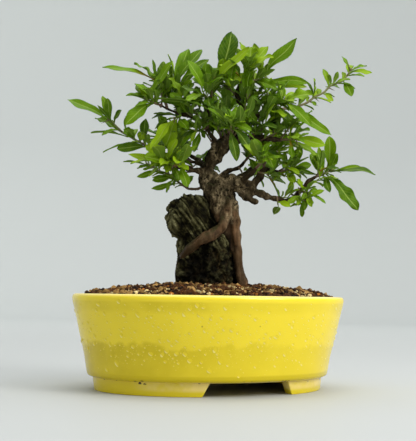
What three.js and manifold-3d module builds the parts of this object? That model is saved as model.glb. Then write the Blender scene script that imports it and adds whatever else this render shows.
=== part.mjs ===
// A small firethorn tree with its roots round a stone, planted in an oval glazed pot on two feet.
// Millimetres, +Z up, +X along the pot's long side; the base stands on z = 0.
import * as THREE from "three";
import Module from "manifold-3d";

const wasm = await Module();
wasm.setup();

// The pot: an oval whose walls flare up from the foot
const WALL_FOOT_HALF_LENGTH = 98.1;
const WALL_FOOT_HALF_WIDTH = 78.5;
const POT_HEIGHT = 73;
const POT_SIDES = 36;
const FOOT_HEIGHT = 10.2;
const FOOT_THICKNESS = 9;
const FOOT_INSET = 6;
const FOOT_FLARE = 1.6;
const FOOT_GAP_HALF_TOP = 32;
const FOOT_GAP_HALF_BOTTOM = 36.8;
const FLOOR_TOP = 17.5;
const RIM_OUT = 12.6;
const WALL = 6.4;
const DRAIN_SPACING = 76;
const DRAIN_RADIUS = 9;
const DRAIN_SIDES = 16;

// The wall's outer side from the foot up and over the lip: [outset, height]
const OUTER_WALL = [
  [-3.6, FOOT_HEIGHT], [-1.2, FOOT_HEIGHT + 0.9], [0, FOOT_HEIGHT + 3], [1.9, 25], [6.9, 45.4],
  [RIM_OUT - 0.7, POT_HEIGHT - 7], [RIM_OUT, POT_HEIGHT - 4.6], [RIM_OUT, POT_HEIGHT - 2.6],
  [RIM_OUT - 0.8, POT_HEIGHT - 0.8], [RIM_OUT - 2.4, POT_HEIGHT], [RIM_OUT - WALL + 1.6, POT_HEIGHT - 0.5],
];

// The mesh screens that lie over the drain holes inside the pot
const SCREEN_SIZE = 26;
const SCREEN_THICKNESS = 1;
const SCREEN_BARS = 3;
const SCREEN_BAR_WIDTH = 2;

// The soil, mounded from the wall up to the stone
const SOIL_RINGS = 7;
const SOIL_EDGE = 70;
const SOIL_SHOULDER = 1.2;
const SOIL_SHOULDER_SHARE = 0.04;
const SOIL_MOUND = 8.6;
const SOIL_ROUNDING = 3;
const SOIL_BUMP = 1.2;
const SOIL_SPREAD = 0.03;

// The wall's inner side, from just under the lip down to the floor: [outset, height]
const INNER_WALL = [[RIM_OUT - WALL, SOIL_EDGE], [-WALL + 1, FLOOR_TOP + 4], [-WALL - 3, FLOOR_TOP]];

// The stone's sections: height, left and right end, front and back
const STONE_SIDES = 22;
const STONE_ROUGHNESS = 0.09;
const STONE_SQUARENESS = 0.8;
const STONE = [
  [46, -20, 10, -12, 14],
  [60, -25, 15, -18, 20],
  [76, -26.4, 19, -20, 22],
  [88, -26.6, 19.4, -20, 22],
  [101, -26.2, 18.4, -20, 22],
  [111, -25.4, 16.4, -19, 21.5],
  [118, -26.2, 13.6, -18, 21],
  [122.5, -31, 10.6, -18.5, 20.5],
  [129, -35, 6, -19.5, 20],
  [135, -35.8, 2.4, -19.5, 19],
  [141, -33.2, 0, -18, 17.5],
  [147, -30.6, -3, -15, 14.5],
  [151, -26, -5, -10.5, 10],
  [153, -20, -8, -5.5, 5.5],
];

// The tree is laid out as it is seen from the pot's front left, by three numbers: how far right of the
// pot's middle, how far behind it, and how high. Points behind spread with distance from that eye, and
// the pot looks turned clockwise by the eye's lean, so the tree is turned back by it.
const SEEN_FROM = THREE.MathUtils.degToRad(-25.5);
const EYE_DISTANCE = 800;
const EYE_HEIGHT = 73;
const EYE_LEAN = 0.015;

// Room between pieces that touch
const CLEARANCE = 0.3;

// Trunk, roots and woody branches: sides, then [right, behind, height, radius] along each
const BARK_ROUGHNESS = 0.09;
const WOOD = {
  trunk: [8, [[15, -3, 108, 4.6], [12.6, -2, 122, 8], [11.8, -1, 133, 10.4], [9.6, -1, 143.4, 12.4],
    [7.6, 0, 153, 12.2], [2.6, 0, 161, 10.4], [-2.2, 0, 168, 7.6], [-2.2, 0.5, 174, 5],
    [-0.8, 1, 179.4, 5], [3.2, 1, 185, 7.1], [7.2, 0, 190.2, 7], [12.6, -1, 195.4, 6],
    [17.5, -2, 199.4, 4.4]]],
  root_right: [6, [[16, -5, 146, 6.4], [18.4, -6, 138, 5.8], [18.6, -6, 127, 5], [20.6, -6, 115, 4.2],
    [22, -6, 101, 4], [23.2, -6, 90, 4.4], [25.6, -6, 79, 5.6], [29, -6, 67, 3.6], [32, -6, 54, 2]]],
  root_middle: [6, [[12, 4, 142, 8.4], [16.6, 5, 124, 6.6], [19.6, 6, 104, 5.4], [22, 6, 88, 6],
    [26, 7, 70, 4.4], [30, 8, 54, 2]]],
  root_across: [6, [[14, -9, 149, 4.6], [13.4, -13, 142, 4.2], [11.4, -17, 134, 4.2],
    [8.8, -20, 127.6, 4.5], [2.3, -22, 120.8, 4.9], [-8.4, -21.5, 116, 4.6], [-16, -18.4, 110.2, 4.2],
    [-21, -13.5, 104.4, 3.7], [-24, -8, 98.4, 3.2], [-25.6, 0, 92, 2.8], [-25.8, 8, 84, 2.6],
    [-24.6, 15, 75, 2.4], [-23, 20, 64, 2.2], [-22, 21, 54, 1.6]]],
  root_inner: [6, [[6, -4, 148, 8.6], [6, -9, 139, 5.6], [8, -12, 130, 2.6]]],
  root_back_right: [6, [[13, 6, 144, 7], [17, 15, 124, 5], [19, 21.5, 102, 4], [22, 24, 84, 4.4],
    [26, 26, 68, 3.4], [28, 27, 54, 2]]],
  root_back_left: [6, [[4, 8, 147, 6.4], [-4, 19, 133, 4.8], [-11, 22.6, 116, 4], [-16, 23.5, 98, 3.8],
    [-21, 22.5, 82, 4.2], [-25, 22, 66, 3.2], [-28, 22, 54, 2]]],
  bough_right: [7, [[4, -1, 158, 8.4], [15.2, -3, 162.3, 8.2], [23, -5, 161.2, 7], [30.6, -7, 158.6, 5.6],
    [36, -8, 156, 4]]],
  branch_right: [5, [[31, -7, 158, 4.6], [38, -8, 155, 3.4], [44.8, -9, 152, 3.1], [53, -9, 149.5, 2.7],
    [61.1, -8, 148, 2.4], [67.3, -6, 151, 2.3], [72.4, -4, 156.2, 2.1], [78.5, -2, 164.3, 1.8],
    [84, 0, 167.6, 1.5]]],
  stub: [5, [[24, -7, 157, 4], [27.4, -8, 154.1, 3.6], [32.6, -10, 149, 2.7], [37, -11, 146.8, 3]]],
  branch_rising: [5, [[31, -7, 159, 4.2], [34.6, -6, 161.6, 3.5], [40.7, -4, 169.4, 2.9],
    [43, -2, 174.2, 2.7], [49, 0, 173, 2], [55, 2, 171.4, 1.6]]],
  twig_curved: [5, [[7, 1, 166, 3], [14.2, 5, 172.5, 2], [22.4, 7, 174.6, 1.7], [27.4, 9, 179.6, 1.4]]],
  branch_up: [5, [[16, -2, 198, 4.4], [22.2, -1, 205, 3.6], [26, 0, 210.6, 3.2], [27.8, 1, 217, 2.9],
    [25.4, 2, 225.8, 2.6], [21, 1, 235.4, 2.4], [23.8, 0, 241.8, 2.1], [29.5, -1, 246.6, 1.6]]],
  branch_up_right: [5, [[25, 0, 208, 3], [33.4, -3, 215, 2.4], [41.4, -6, 219.8, 2.1],
    [47.8, -8, 223.4, 1.7]]],
  branch_mid_right: [5, [[14, -3, 196, 4.4], [28.6, -7, 198.6, 3.1], [41.4, -10, 199.4, 2.7],
    [52.6, -12, 197.8, 2.2], [57, -13, 197.8, 1.7]]],
  branch_upright: [5, [[3.8, -2, 186, 3.4], [2.2, -4, 197.8, 2.3], [-3, -5, 207.4, 2.1],
    [-4.5, -6, 213.5, 2], [-1, -7, 221, 1.8], [1, -8, 229.8, 1.5]]],
  branch_upper_left: [5, [[-4.2, -6, 212.5, 2], [-10.6, -7, 214.2, 1.8], [-18.4, -8, 217, 1.7],
    [-28.2, -10, 220, 1.5], [-34.9, -11, 222.9, 1.4], [-40, -12, 226, 1.2]]],
  twig_left: [5, [[-2, 1, 176.4, 2.8], [-8.7, 5, 178.3, 1.8], [-15.4, 9, 180.2, 1.6],
    [-20.2, 12, 184.2, 1.3]]],
  branch_lower_left: [5, [[-1.5, 0, 170, 3.4], [-6.8, -2, 172.4, 2.9], [-15.4, -5, 173.4, 2.5],
    [-23.3, -8, 175.4, 2.1], [-29.5, -11, 176.3, 1.6]]],
  branch_back: [5, [[5, 3, 187, 3.4], [10, 16, 196, 2.4], [9, 28, 206, 2], [14, 38, 214, 1.6]]],
  branch_back_left: [5, [[-2, 2, 170, 3], [-8, 15, 180, 2.2], [-18, 26, 186, 1.8], [-26, 34, 190, 1.4]]],
  branch_back_right: [5, [[17, 1, 163, 3.6], [28, 14, 170, 2.3], [38, 24, 178, 1.9], [48, 32, 184, 1.4]]],
  branch_front: [5, [[9, -3, 191, 3.2], [14, -17, 197, 2.1], [16, -28, 204, 1.5]]],
  branch_front_right: [5, [[24, -7, 162, 3.4], [32, -20, 170, 1.9], [38, -30, 176, 1.4]]],
};

// Leaf blades
const BLADE_THICKNESS = 0.64;
const BLADE_FULLEST = 1.3;
const BLADE_ROUNDNESS = 0.75;
const BLADE_ARCH = 0.55;
const BLADE_FOLD = 0.26;
const BROAD = 8;
const SLIM = 6.2;
const SLIM_ROWS = [0.55];
const MIDDLE_ROWS = [0.36, 0.72];
const BROAD_ROWS = [0.25, 0.52, 0.79];
const ROW_ROOM = 0.04;

// How a leaf finds its place: from which share of its length it keeps clear of its own shoot, how many
// poses it tries, and what each further pose moves, turns or shortens
const FREE_FROM = 0.3;
const TRIES = 12;
const POSE_SHIFT = 5;
const POSE_TURN = 0.55;
const POSE_SHORTER = 0.03;

// The shoots' stems; each leaf grows out of one facet of a short ring of the stem, its seat
const STEM_SIDES = 5;
const STEM_RADIUS = 1.1;
const STEM_TIP_RADIUS = 0.85;
const SEAT_LENGTH = 1.8;
const SEAT_ROOM = 0.5;
const FIRST_SEAT = 4.2;
const SEATS_TRIED = 4;
const SEAT_REACH = 8;
const LEAST_OUTWARD = 0.12;
const CROSSING = 0.002;
const SAME_PLACE = 0.01;

// Leafy shoots. stem: its points [right, behind, height] from the wood outwards. leaves: where along the
// stem (0 to 1), then the tip as [right, behind, height], then width and the turn of its face in degrees.
// more: how many small leaves fill the stem in between, and their usual length.
const SHOOTS = {
  shoot_crown_top: {
    stem: [[21, 1, 235.4], [14, 4, 240], [8.8, 6, 246]],
    leaves: [[1, [17.4, 10, 285.8], 17, 0], [0.95, [10.6, -2, 264.2], 11, 0]],
    more: [7, 20],
  },
  shoot_crown_left: {
    stem: [[1, -8, 229.8], [0.4, -10.4, 236], [-0.6, -12, 243.5]],
    leaves: [[1, [-2.6, -18, 256.4], 18, 0], [0.9, [31.8, -20, 273], 10.5, 8]],
    more: [8, 19],
  },
  shoot_crown_right: {
    stem: [[29.5, -1, 246.6], [31, -4, 252], [31.6, -6.4, 259.4]],
    leaves: [[1, [33.4, -10, 273.8], 14, 0], [0.9, [51, -12, 265.8], 9, 10],
      [0.5, [12, -8, 243], 9, 20]],
    more: [6, 20],
  },
  shoot_crown_far: {
    stem: [[26.6, -0.5, 244.2], [36, 3, 246], [44, 4, 248]],
    leaves: [[0.9, [35.7, 8, 276], 9, 20], [1, [70.2, 2, 280.5], 12.5, 0],
      [0.6, [55, -10, 237.8], 9, 10], [1, [79.8, 6, 243.8], 8, 35], [0.9, [78.2, 14, 240.6], 7, 55]],
    more: [5, 20],
  },
  shoot_upper_left: {
    stem: [[-27, -9.8, 219.6], [-27, -4, 230], [-28.4, 0, 241], [-29, 1, 245]],
    leaves: [[1, [-6.6, 4, 271.4], 12, 0], [0.9, [-17.8, 12, 272], 11, 0],
      [0.95, [-11.5, -8, 254.6], 8, 15], [0.85, [-1, 12, 263.4], 10, 10]],
    more: [7, 20],
  },
  shoot_left_upper: {
    stem: [[-34.9, -11, 222.9], [-38, -8, 234], [-41.4, -6, 246]],
    leaves: [[1, [-87.2, -14, 257], 10, 10], [0.97, [-46.6, -4, 263.4], 3.4, 30],
      [0.9, [-51, 4, 255], 4, 20]],
    more: [5, 18],
  },
  shoot_left_tip: {
    stem: [[-40, -12, 226], [-45, -15, 227.5], [-52, -18, 231]],
    leaves: [[1, [-30.6, -24, 262.2], 9, 0], [0.9, [-68.2, -20, 234], 7, 15],
      [0.6, [-68.6, -28, 209.8], 12, 0], [0.5, [-59, -8, 215.4], 9, 20],
      [0.4, [-36.2, -14, 242.6], 7, 10], [0.3, [-20.5, -26, 228.8], 6, 25],
      [0.2, [-2.6, -20, 223.4], 6, 35]],
    more: [4, 18],
  },
  shoot_far_left: {
    stem: [[-29.5, -11, 176.3], [-41.8, 0, 188.2], [-56.2, 5, 195.4], [-70.2, 8, 203.4],
      [-81.5, 9, 214.4]],
    leaves: [[1, [-115.2, 14, 230.6], 10.5, 10], [0.98, [-87, 18, 233.4], 6, 10],
      [0.95, [-91, 4, 226], 3.2, 30], [0.93, [-71.6, 2, 222], 6, 0], [0.78, [-93, 16, 215.4], 9, 20],
      [0.7, [-96.2, 12, 203.4], 6, 50], [0.62, [-69.8, 2, 206.6], 9.5, 0],
      [0.55, [-53.8, 0, 203.6], 7, 10], [0.45, [-75, 2, 190.6], 9, 30],
      [0.5, [-86.3, 8, 187.7], 4, 30]],
    more: [4, 18],
  },
  shoot_left_front: {
    stem: [[-26, -9, 175.8], [-31.5, -14.6, 177], [-37, -19, 180.5]],
    leaves: [[1, [-26.6, -24, 198.6], 8.5, 0], [0.95, [-53, -30, 184.2], 11, 10],
      [0.9, [-10.6, -30, 193], 5, 25], [1, [-51.8, -14, 193.6], 12, 0], [0.9, [-65.8, -16, 186], 6, 20],
      [0.8, [-64.2, -26, 178.4], 7, 20], [0.2, [-24.6, -16, 164.6], 7.5, 0]],
    more: [4, 18],
  },
  shoot_left_hanging: {
    stem: [[-22, -8.6, 218], [-25, -13, 216.6], [-28.5, -16, 215.6]],
    leaves: [[1, [-48.2, -26, 189.8], 10, 0], [0.6, [-36, -22, 192.4], 13, 0]],
    more: [6, 19],
  },
  shoot_left_inner: {
    stem: [[-20.2, 12, 184.2], [-24, 16, 189], [-28, 18, 195]],
    leaves: [[0.1, [-10, 2, 190], 6, 0]],
    more: [10, 19],
  },
  shoot_low_left: {
    stem: [[-3.5, 2, 162], [-9.8, 4, 158], [-17.4, 7, 158], [-24.2, 9, 162.4], [-33, 11, 169.6],
      [-40.7, 12, 172.4], [-50.4, 13, 178.3]],
    leaves: [[0.58, [-46.6, 4, 164.7], 6.5, 25], [0.45, [-47.4, 10, 158.2], 5, 45],
      [0.82, [-59, 8, 167.6], 5, 45], [0.9, [-54, 16, 173.8], 3, 30], [1, [-69.8, 15, 180.2], 5, 45],
      [0.3, [-13.6, 0, 168.4], 6.5, 0]],
    more: [0, 16],
  },
  shoot_right_main: {
    stem: [[47.8, -8, 223.4], [53, -11, 226.5], [60, -14.6, 229]],
    leaves: [[1, [57, -6, 242], 7, 10], [1, [82.6, -24, 234.6], 13, 5],
      [0.95, [81.4, -28, 208.2], 10, 5], [0.9, [97.4, -8, 201.4], 9, 15], [0.7, [74, -16, 205], 5, 20]],
    more: [6, 19],
  },
  shoot_right_tip: {
    stem: [[43, -6.4, 220.6], [54, 4, 222.6], [66, 12, 223.5], [78.2, 15, 227.8], [83.8, 16, 232.2],
      [91.8, 17, 236.2], [96.6, 18, 241.3], [107.4, 19, 245.8], [111, 19.5, 250.3], [113.6, 20, 254.2]],
    leaves: [[0.74, [91, 14, 255.4], 6, 0], [0.88, [114.2, 14, 233], 8, 0],
      [0.95, [124.6, 14, 249.4], 6, 10], [1, [106.6, 20, 265.8], 4, 20], [1, [130.6, 24, 252.2], 5, 25],
      [0.66, [99, 16, 229], 5, 10], [0.52, [85.4, 14, 225.4], 4, 0], [0.56, [89.4, 20, 238.6], 4.6, 0],
      [0.66, [93.4, 18, 241], 3.4, 0]],
    more: [3, 16],
  },
  shoot_right_middle: {
    stem: [[57, -13, 197.8], [62, -16, 197.8], [69, -19, 198.4]],
    leaves: [[1, [92.6, -26, 193], 10, 10], [0.9, [85.7, -10, 184.6], 7.5, 10],
      [0.6, [66.2, -22, 182.6], 5, 10], [0.8, [72, -4, 186.6], 9, 0]],
    more: [6, 19],
  },
  shoot_right_low: {
    stem: [[84, 0, 167.6], [90, 3, 169.6], [97, 5, 173]],
    leaves: [[0.9, [95.8, 0, 200.6], 10.5, 0], [1, [102, -2, 186.6], 7.5, 0],
      [0.95, [132.6, 0, 169.6], 9, 15], [1, [120.6, 12, 176], 5, 35], [1, [118.3, -8, 140.8], 12, 0],
      [0.9, [110.2, 6, 150], 4.5, 20], [0.5, [95.8, -10, 155], 6.5, 10], [0.4, [80.2, -6, 186], 13, 0],
      [0.3, [64.4, 2, 173.4], 6, 15], [0.7, [87, 10, 192], 5, 20]],
    more: [2, 16],
  },
  shoot_right_bottom: {
    stem: [[72.4, -4, 156.2], [76, -8, 155.5], [78, -10, 154]],
    leaves: [[1, [92.4, -14, 146.4], 6, 20], [0.9, [86, -6, 157], 4.4, 20],
      [0.95, [81.2, -16, 143.4], 5, 20], [0.5, [75.4, -10, 140.6], 5, 10],
      [0.3, [69.6, -14, 166], 6.5, 0]],
    more: [2, 15],
  },
  shoot_right_inner: {
    stem: [[55, 2, 171.4], [62, 4, 173.6], [67, 5, 175]],
    leaves: [[1, [73.4, 2, 192.4], 8, 0], [0.8, [54.6, 8, 187.6], 4, 20], [0.9, [60, 0, 188.4], 4, 20],
      [1, [81, 12, 177.4], 6.5, 30], [0.5, [67.6, -6, 162.6], 7, 0]],
    more: [5, 17],
  },
  shoot_middle_right: {
    stem: [[42.8, -2, 174.6], [44.4, -7, 181], [43, -10, 191]],
    leaves: [[1, [50.6, -18, 175], 9, 0], [0.9, [56, -6, 180], 8, 10]],
    more: [7, 18],
  },
  shoot_front: {
    stem: [[16, -28, 204], [16.5, -34, 207], [17, -39, 213]],
    leaves: [[0.3, [21.4, -38, 180.4], 8.5, 0], [0.6, [33.4, -34, 189.4], 8.5, 0],
      [1, [33.6, -46, 205], 6, 10]],
    more: [9, 19],
  },
  shoot_front_right: {
    stem: [[38, -30, 176], [41, -35, 179], [43, -38, 184]],
    leaves: [],
    more: [9, 18],
  },
  shoot_back: { stem: [[14, 38, 214], [15, 43, 219], [15, 46, 225]], leaves: [], more: [11, 20] },
  shoot_back_upper: { stem: [[9, 27, 205.6], [2, 34, 212], [-3, 37, 219]], leaves: [], more: [10, 20] },
  shoot_back_left: { stem: [[-26, 34, 190], [-31, 39, 193], [-34, 42, 199]], leaves: [], more: [11, 20] },
  shoot_back_low: { stem: [[-14, 22, 184], [-9, 28, 178], [-4, 33, 177]], leaves: [], more: [7, 17] },
  shoot_back_right: { stem: [[48, 32, 184], [54, 36, 188], [58, 38, 194]], leaves: [], more: [11, 20] },
  shoot_back_middle: { stem: [[37, 23, 177.4], [36, 30, 171], [38, 36, 169]], leaves: [], more: [8, 18] },
  shoot_upper_middle: { stem: [[27.8, 1, 217], [33, 8, 224], [38, 12, 231]], leaves: [], more: [10, 19] },
  shoot_curved: {
    stem: [[27.4, 9, 179.6], [31, 12, 184], [33, 14, 190]],
    leaves: [[0.4, [36.6, 6, 171.8], 7, 20]],
    more: [8, 17],
  },
  shoot_upright: { stem: [[-3, -5, 207.4], [-8, -13, 205], [-12, -18, 205]], leaves: [], more: [9, 18] },
  shoot_middle: { stem: [[34, -8.4, 199.2], [36, -15, 205], [37, -19, 211]], leaves: [], more: [10, 19] },
  shoot_middle_far: { stem: [[48, -11, 198.6], [52, -5, 204], [56, -2, 210]], leaves: [], more: [9, 18] },
  shoot_left_back: {
    stem: [[-14, -7.5, 215.6], [-18, 2, 221], [-20, 9, 227]],
    leaves: [],
    more: [10, 19],
  },
};

// The rule for the small leaves in between
const GOLDEN_TURN = THREE.MathUtils.degToRad(137.5);
const MORE_FIRST = 0.3;
const MORE_SPREAD = 0.85;
const MORE_LIFT = 0.35;
const MORE_AHEAD = 0.35;
const MORE_AHEAD_RANGE = 0.5;
const MORE_LENGTH_RANGE = 0.35;
const MORE_SLENDERNESS = 0.27;
const MORE_SLENDERNESS_RANGE = 0.17;

const materials = {
  glaze: [0xe3cf2c, 0.18],
  screen: [0x202224, 0.6],
  soil: [0x4a3324, 0.95],
  stone: [0x34352c, 0.9],
  bark: [0x57473a, 0.9],
  leaf: [0x4f8a1e, 0.45],
};

// A repeatable number from 0 to 1 for whole-number keys.
function draw(...keys) {
  let h = 2166136261;
  for (const key of keys) {
    h = Math.imul(h ^ (key + 101), 16777619);
    h ^= h >>> 13;
  }
  h = Math.imul(h ^ (h >>> 15), 2246822519);
  h ^= h >>> 13;
  return (h >>> 0) / 4294967296;
}

// The point that lies `behind` millimetres behind the place seen at `right` and `height`.
function place(right, behind, height) {
  const spread = (EYE_DISTANCE + behind) / EYE_DISTANCE;
  const seen = new THREE.Vector2(right, height - EYE_HEIGHT).rotateAround(new THREE.Vector2(), EYE_LEAN);
  const away = new THREE.Vector3(seen.x * spread, behind, EYE_HEIGHT + seen.y * spread);
  return away.applyAxisAngle(new THREE.Vector3(0, 0, 1), SEEN_FROM);
}

// A direction given as right, behind and up.
function direction(right, behind, up) {
  return new THREE.Vector3(right, behind, up).applyAxisAngle(new THREE.Vector3(0, 0, 1), SEEN_FROM);
}

function manifoldOf(points, faces) {
  const vertProperties = new Float32Array(points.flatMap((p) => [p.x, p.y, p.z]));
  const triVerts = new Uint32Array(faces);
  return new wasm.Manifold(new wasm.Mesh({ numProp: 3, vertProperties, triVerts }));
}

// A closed body through rings of equal count, each anticlockwise seen from the way they advance.
function loft(rings) {
  const count = rings[0].length;
  const points = rings.flat();
  const faces = [];
  for (let r = 0; r + 1 < rings.length; r++) {
    for (let i = 0; i < count; i++) {
      const a = r * count + i;
      const b = r * count + ((i + 1) % count);
      faces.push(a, b, b + count, a, b + count, a + count);
    }
  }
  endFaces(rings, points, faces);
  return manifoldOf(points, faces);
}

// Closes the first and the last of numbered rings with a fan to its middle.
function endFaces(rings, points, faces) {
  const count = rings[0].length;
  const last = (rings.length - 1) * count;
  const middle = (ring) => ring.reduce((sum, p) => sum.add(p), new THREE.Vector3()).divideScalar(count);
  const first = points.length;
  points.push(middle(rings[0]), middle(rings.at(-1)));
  for (let i = 0; i < count; i++) {
    const next = (i + 1) % count;
    faces.push(first, next, i, first + 1, last + i, last + next);
  }
}

function oval(out, z) {
  return Array.from({ length: POT_SIDES }, (_, i) => {
    const turn = (2 * Math.PI * i) / POT_SIDES;
    return new THREE.Vector3(
      (WALL_FOOT_HALF_LENGTH + out) * Math.cos(turn), (WALL_FOOT_HALF_WIDTH + out) * Math.sin(turn), z);
  });
}

// A bar through the pot from front to back whose ends can lean: half-length at its bottom and its top.
function bar(halfBottom, halfTop, halfDepth, bottom, top, x = 0, y = 0) {
  const ring = (half, z) => [[1, 1], [-1, 1], [-1, -1], [1, -1]].map(
    ([sx, sy]) => new THREE.Vector3(x + sx * half, y + sy * halfDepth, z));
  return loft([ring(halfBottom, bottom), ring(halfTop, top)]);
}

function drainHole(x) {
  const ring = (z) => Array.from({ length: DRAIN_SIDES }, (_, i) => {
    const turn = (2 * Math.PI * i) / DRAIN_SIDES;
    return new THREE.Vector3(x + DRAIN_RADIUS * Math.cos(turn), DRAIN_RADIUS * Math.sin(turn), z);
  });
  return loft([ring(FOOT_HEIGHT - 2), ring(FLOOR_TOP + 2)]);
}

// The foot's gap from front to back, which narrows upwards and reaches past the foot at both ends.
function footGap(bottom, top) {
  const halfAt = (z) => (
    THREE.MathUtils.mapLinear(z, 0, FOOT_HEIGHT, FOOT_GAP_HALF_BOTTOM, FOOT_GAP_HALF_TOP));
  return bar(halfAt(bottom), halfAt(top), 2 * WALL_FOOT_HALF_WIDTH, bottom, top);
}

function pot() {
  const body = loft([...OUTER_WALL, ...INNER_WALL].map(([out, z]) => oval(out, z)));
  const inside = -FOOT_INSET - FOOT_THICKNESS;
  const foot = loft([oval(-FOOT_INSET, 0), oval(FOOT_FLARE - FOOT_INSET, FOOT_HEIGHT + 2)])
    .subtract(loft([oval(inside, -1), oval(inside, FOOT_HEIGHT + 3)]))
    .subtract(footGap(-1, FOOT_HEIGHT + 3));
  return body
    .add(foot)
    .subtract(drainHole(-DRAIN_SPACING / 2))
    .subtract(drainHole(DRAIN_SPACING / 2));
}

const SCREEN_BOTTOM = FLOOR_TOP + CLEARANCE;

function screen(x) {
  const half = SCREEN_SIZE / 2;
  const top = SCREEN_BOTTOM + SCREEN_THICKNESS;
  const pitch = (SCREEN_SIZE - SCREEN_BAR_WIDTH) / (SCREEN_BARS - 1);
  let grid = bar(half, half, half, SCREEN_BOTTOM, top, x);
  const hole = (pitch - SCREEN_BAR_WIDTH) / 2;
  for (let i = 0; i < SCREEN_BARS - 1; i++) {
    for (let j = 0; j < SCREEN_BARS - 1; j++) {
      const middle = (k) => (k + 0.5) * pitch + SCREEN_BAR_WIDTH / 2 - half;
      const cut = bar(hole, hole, hole, SCREEN_BOTTOM - 1, top + 1, x + middle(i), middle(j));
      grid = grid.subtract(cut);
    }
  }
  return grid;
}

function soilBody() {
  const [[edgeOut, edgeHeight], [wallOut, wallHeight], [floorOut, floorHeight]] = INNER_WALL;
  const rings = [
    oval(floorOut - CLEARANCE, floorHeight + CLEARANCE),
    oval(wallOut - CLEARANCE, wallHeight + CLEARANCE),
    oval(edgeOut - CLEARANCE, edgeHeight),
  ];
  for (let ring = 1; ring <= SOIL_RINGS; ring++) {
    const inwards = ring === 1 ? SOIL_SHOULDER_SHARE : (ring - 0.6) / SOIL_RINGS;
    const mound = SOIL_SHOULDER + SOIL_MOUND * (1 - (1 - inwards) ** SOIL_ROUNDING);
    rings.push(oval(edgeOut, edgeHeight).map((p, i) => {
      const reach = 1 - inwards * (1 + SOIL_SPREAD * (2 * draw(1, ring, i) - 1));
      const bump = SOIL_BUMP * (2 * draw(2, ring, i) - 1);
      return new THREE.Vector3(p.x * reach, p.y * reach, edgeHeight + mound + bump);
    }));
  }
  return loft(rings);
}

// The stone, `grown` outwards where it is the hole for the stone instead.
function stoneBody(grown = 0) {
  const last = STONE.length - 1;
  return loft(STONE.map(([height, left, right, front, back], row) => {
    const end = row === 0 ? -grown : row === last ? grown : 0;
    return Array.from({ length: STONE_SIDES }, (_, i) => {
      const turn = (2 * Math.PI * i) / STONE_SIDES;
      const rough = 1 + STONE_ROUGHNESS * (2 * draw(3, row, i) - 1);
      const side = Math.sign(Math.cos(turn)) * Math.abs(Math.cos(turn)) ** STONE_SQUARENESS;
      const depth = Math.sign(Math.sin(turn)) * Math.abs(Math.sin(turn)) ** STONE_SQUARENESS;
      return place(
        (left + right) / 2 + side * (((right - left) / 2) * rough + grown),
        (front + back) / 2 + depth * (((back - front) / 2) * rough + grown),
        height + end);
    });
  }));
}

// The rings of a rod along points, with the radii given; bumpy bark where rough is above 0.
function limbRings(points, radii, sides, rough = 0, seed = 0) {
  const last = points.length - 1;
  const across = new THREE.Vector3();
  return points.map((p, k) => {
    const along = points[Math.min(k + 1, last)].clone().sub(points[Math.max(k - 1, 0)]).normalize();
    if (k === 0) across.set(along.z, along.x, along.y);
    across.addScaledVector(along, -across.dot(along)).normalize();
    const other = along.clone().cross(across);
    return Array.from({ length: sides }, (_, i) => {
      const turn = (2 * Math.PI * i) / sides;
      const radius = radii[k] * (1 + rough * (2 * draw(4, seed, k, i) - 1));
      return p.clone()
        .addScaledVector(across, radius * Math.cos(turn))
        .addScaledVector(other, radius * Math.sin(turn));
    });
  });
}

// All the wood as one body, `grown` outwards where it is the hole for the wood instead.
function woodBody(grown = 0) {
  const members = Object.values(WOOD).map(([sides, stations], seed) => {
    const points = stations.map(([right, behind, height]) => place(right, behind, height));
    const radii = stations.map(([, , , radius]) => radius + grown);
    return loft(limbRings(points, radii, sides, BARK_ROUGHNESS, seed));
  });
  return wasm.Manifold.union(members);
}

// The point at a share of a polyline's length.
function alongStem(points, share) {
  const lengths = points.slice(1).map((p, i) => p.distanceTo(points[i]));
  let left = share * lengths.reduce((a, b) => a + b);
  for (let i = 0; i < lengths.length; i++) {
    if (left <= lengths[i] || i === lengths.length - 1) {
      return points[i].clone().lerp(points[i + 1], Math.min(1, left / lengths[i]));
    }
    left -= lengths[i];
  }
}

// A leaf set out by its two ends, the side it faces, and its width.
function leafOf(base, tip, face, width) {
  const chord = tip.clone().sub(base);
  const length = chord.length();
  chord.normalize();
  const normal = face.clone().addScaledVector(chord, -face.dot(chord)).normalize();
  return { base, tip, chord, normal, length, width };
}

// The leaf's middle line and its normal there: an arc from base to tip, bowed towards the face.
function leafSpot(leaf, s) {
  const half = BLADE_ARCH / 2;
  const arc = (leaf.length * half) / Math.sin(half);
  const bend = BLADE_ARCH * s;
  const { chord, normal: face } = leaf;
  const ahead = chord.clone().multiplyScalar(Math.cos(half)).addScaledVector(face, Math.sin(half));
  const up = face.clone().multiplyScalar(Math.cos(half)).addScaledVector(chord, -Math.sin(half));
  const spot = leaf.base.clone()
    .addScaledVector(ahead, (arc * Math.sin(bend)) / BLADE_ARCH)
    .addScaledVector(up, (-arc * (1 - Math.cos(bend))) / BLADE_ARCH);
  const normal = ahead.clone().multiplyScalar(Math.sin(bend)).addScaledVector(up, Math.cos(bend));
  return { spot, normal, across: leaf.chord.clone().cross(leaf.normal) };
}

function halfWidth(leaf, s) {
  return (leaf.width / 2) * Math.sin(Math.PI * s ** BLADE_FULLEST) ** BLADE_ROUNDNESS;
}

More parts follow.
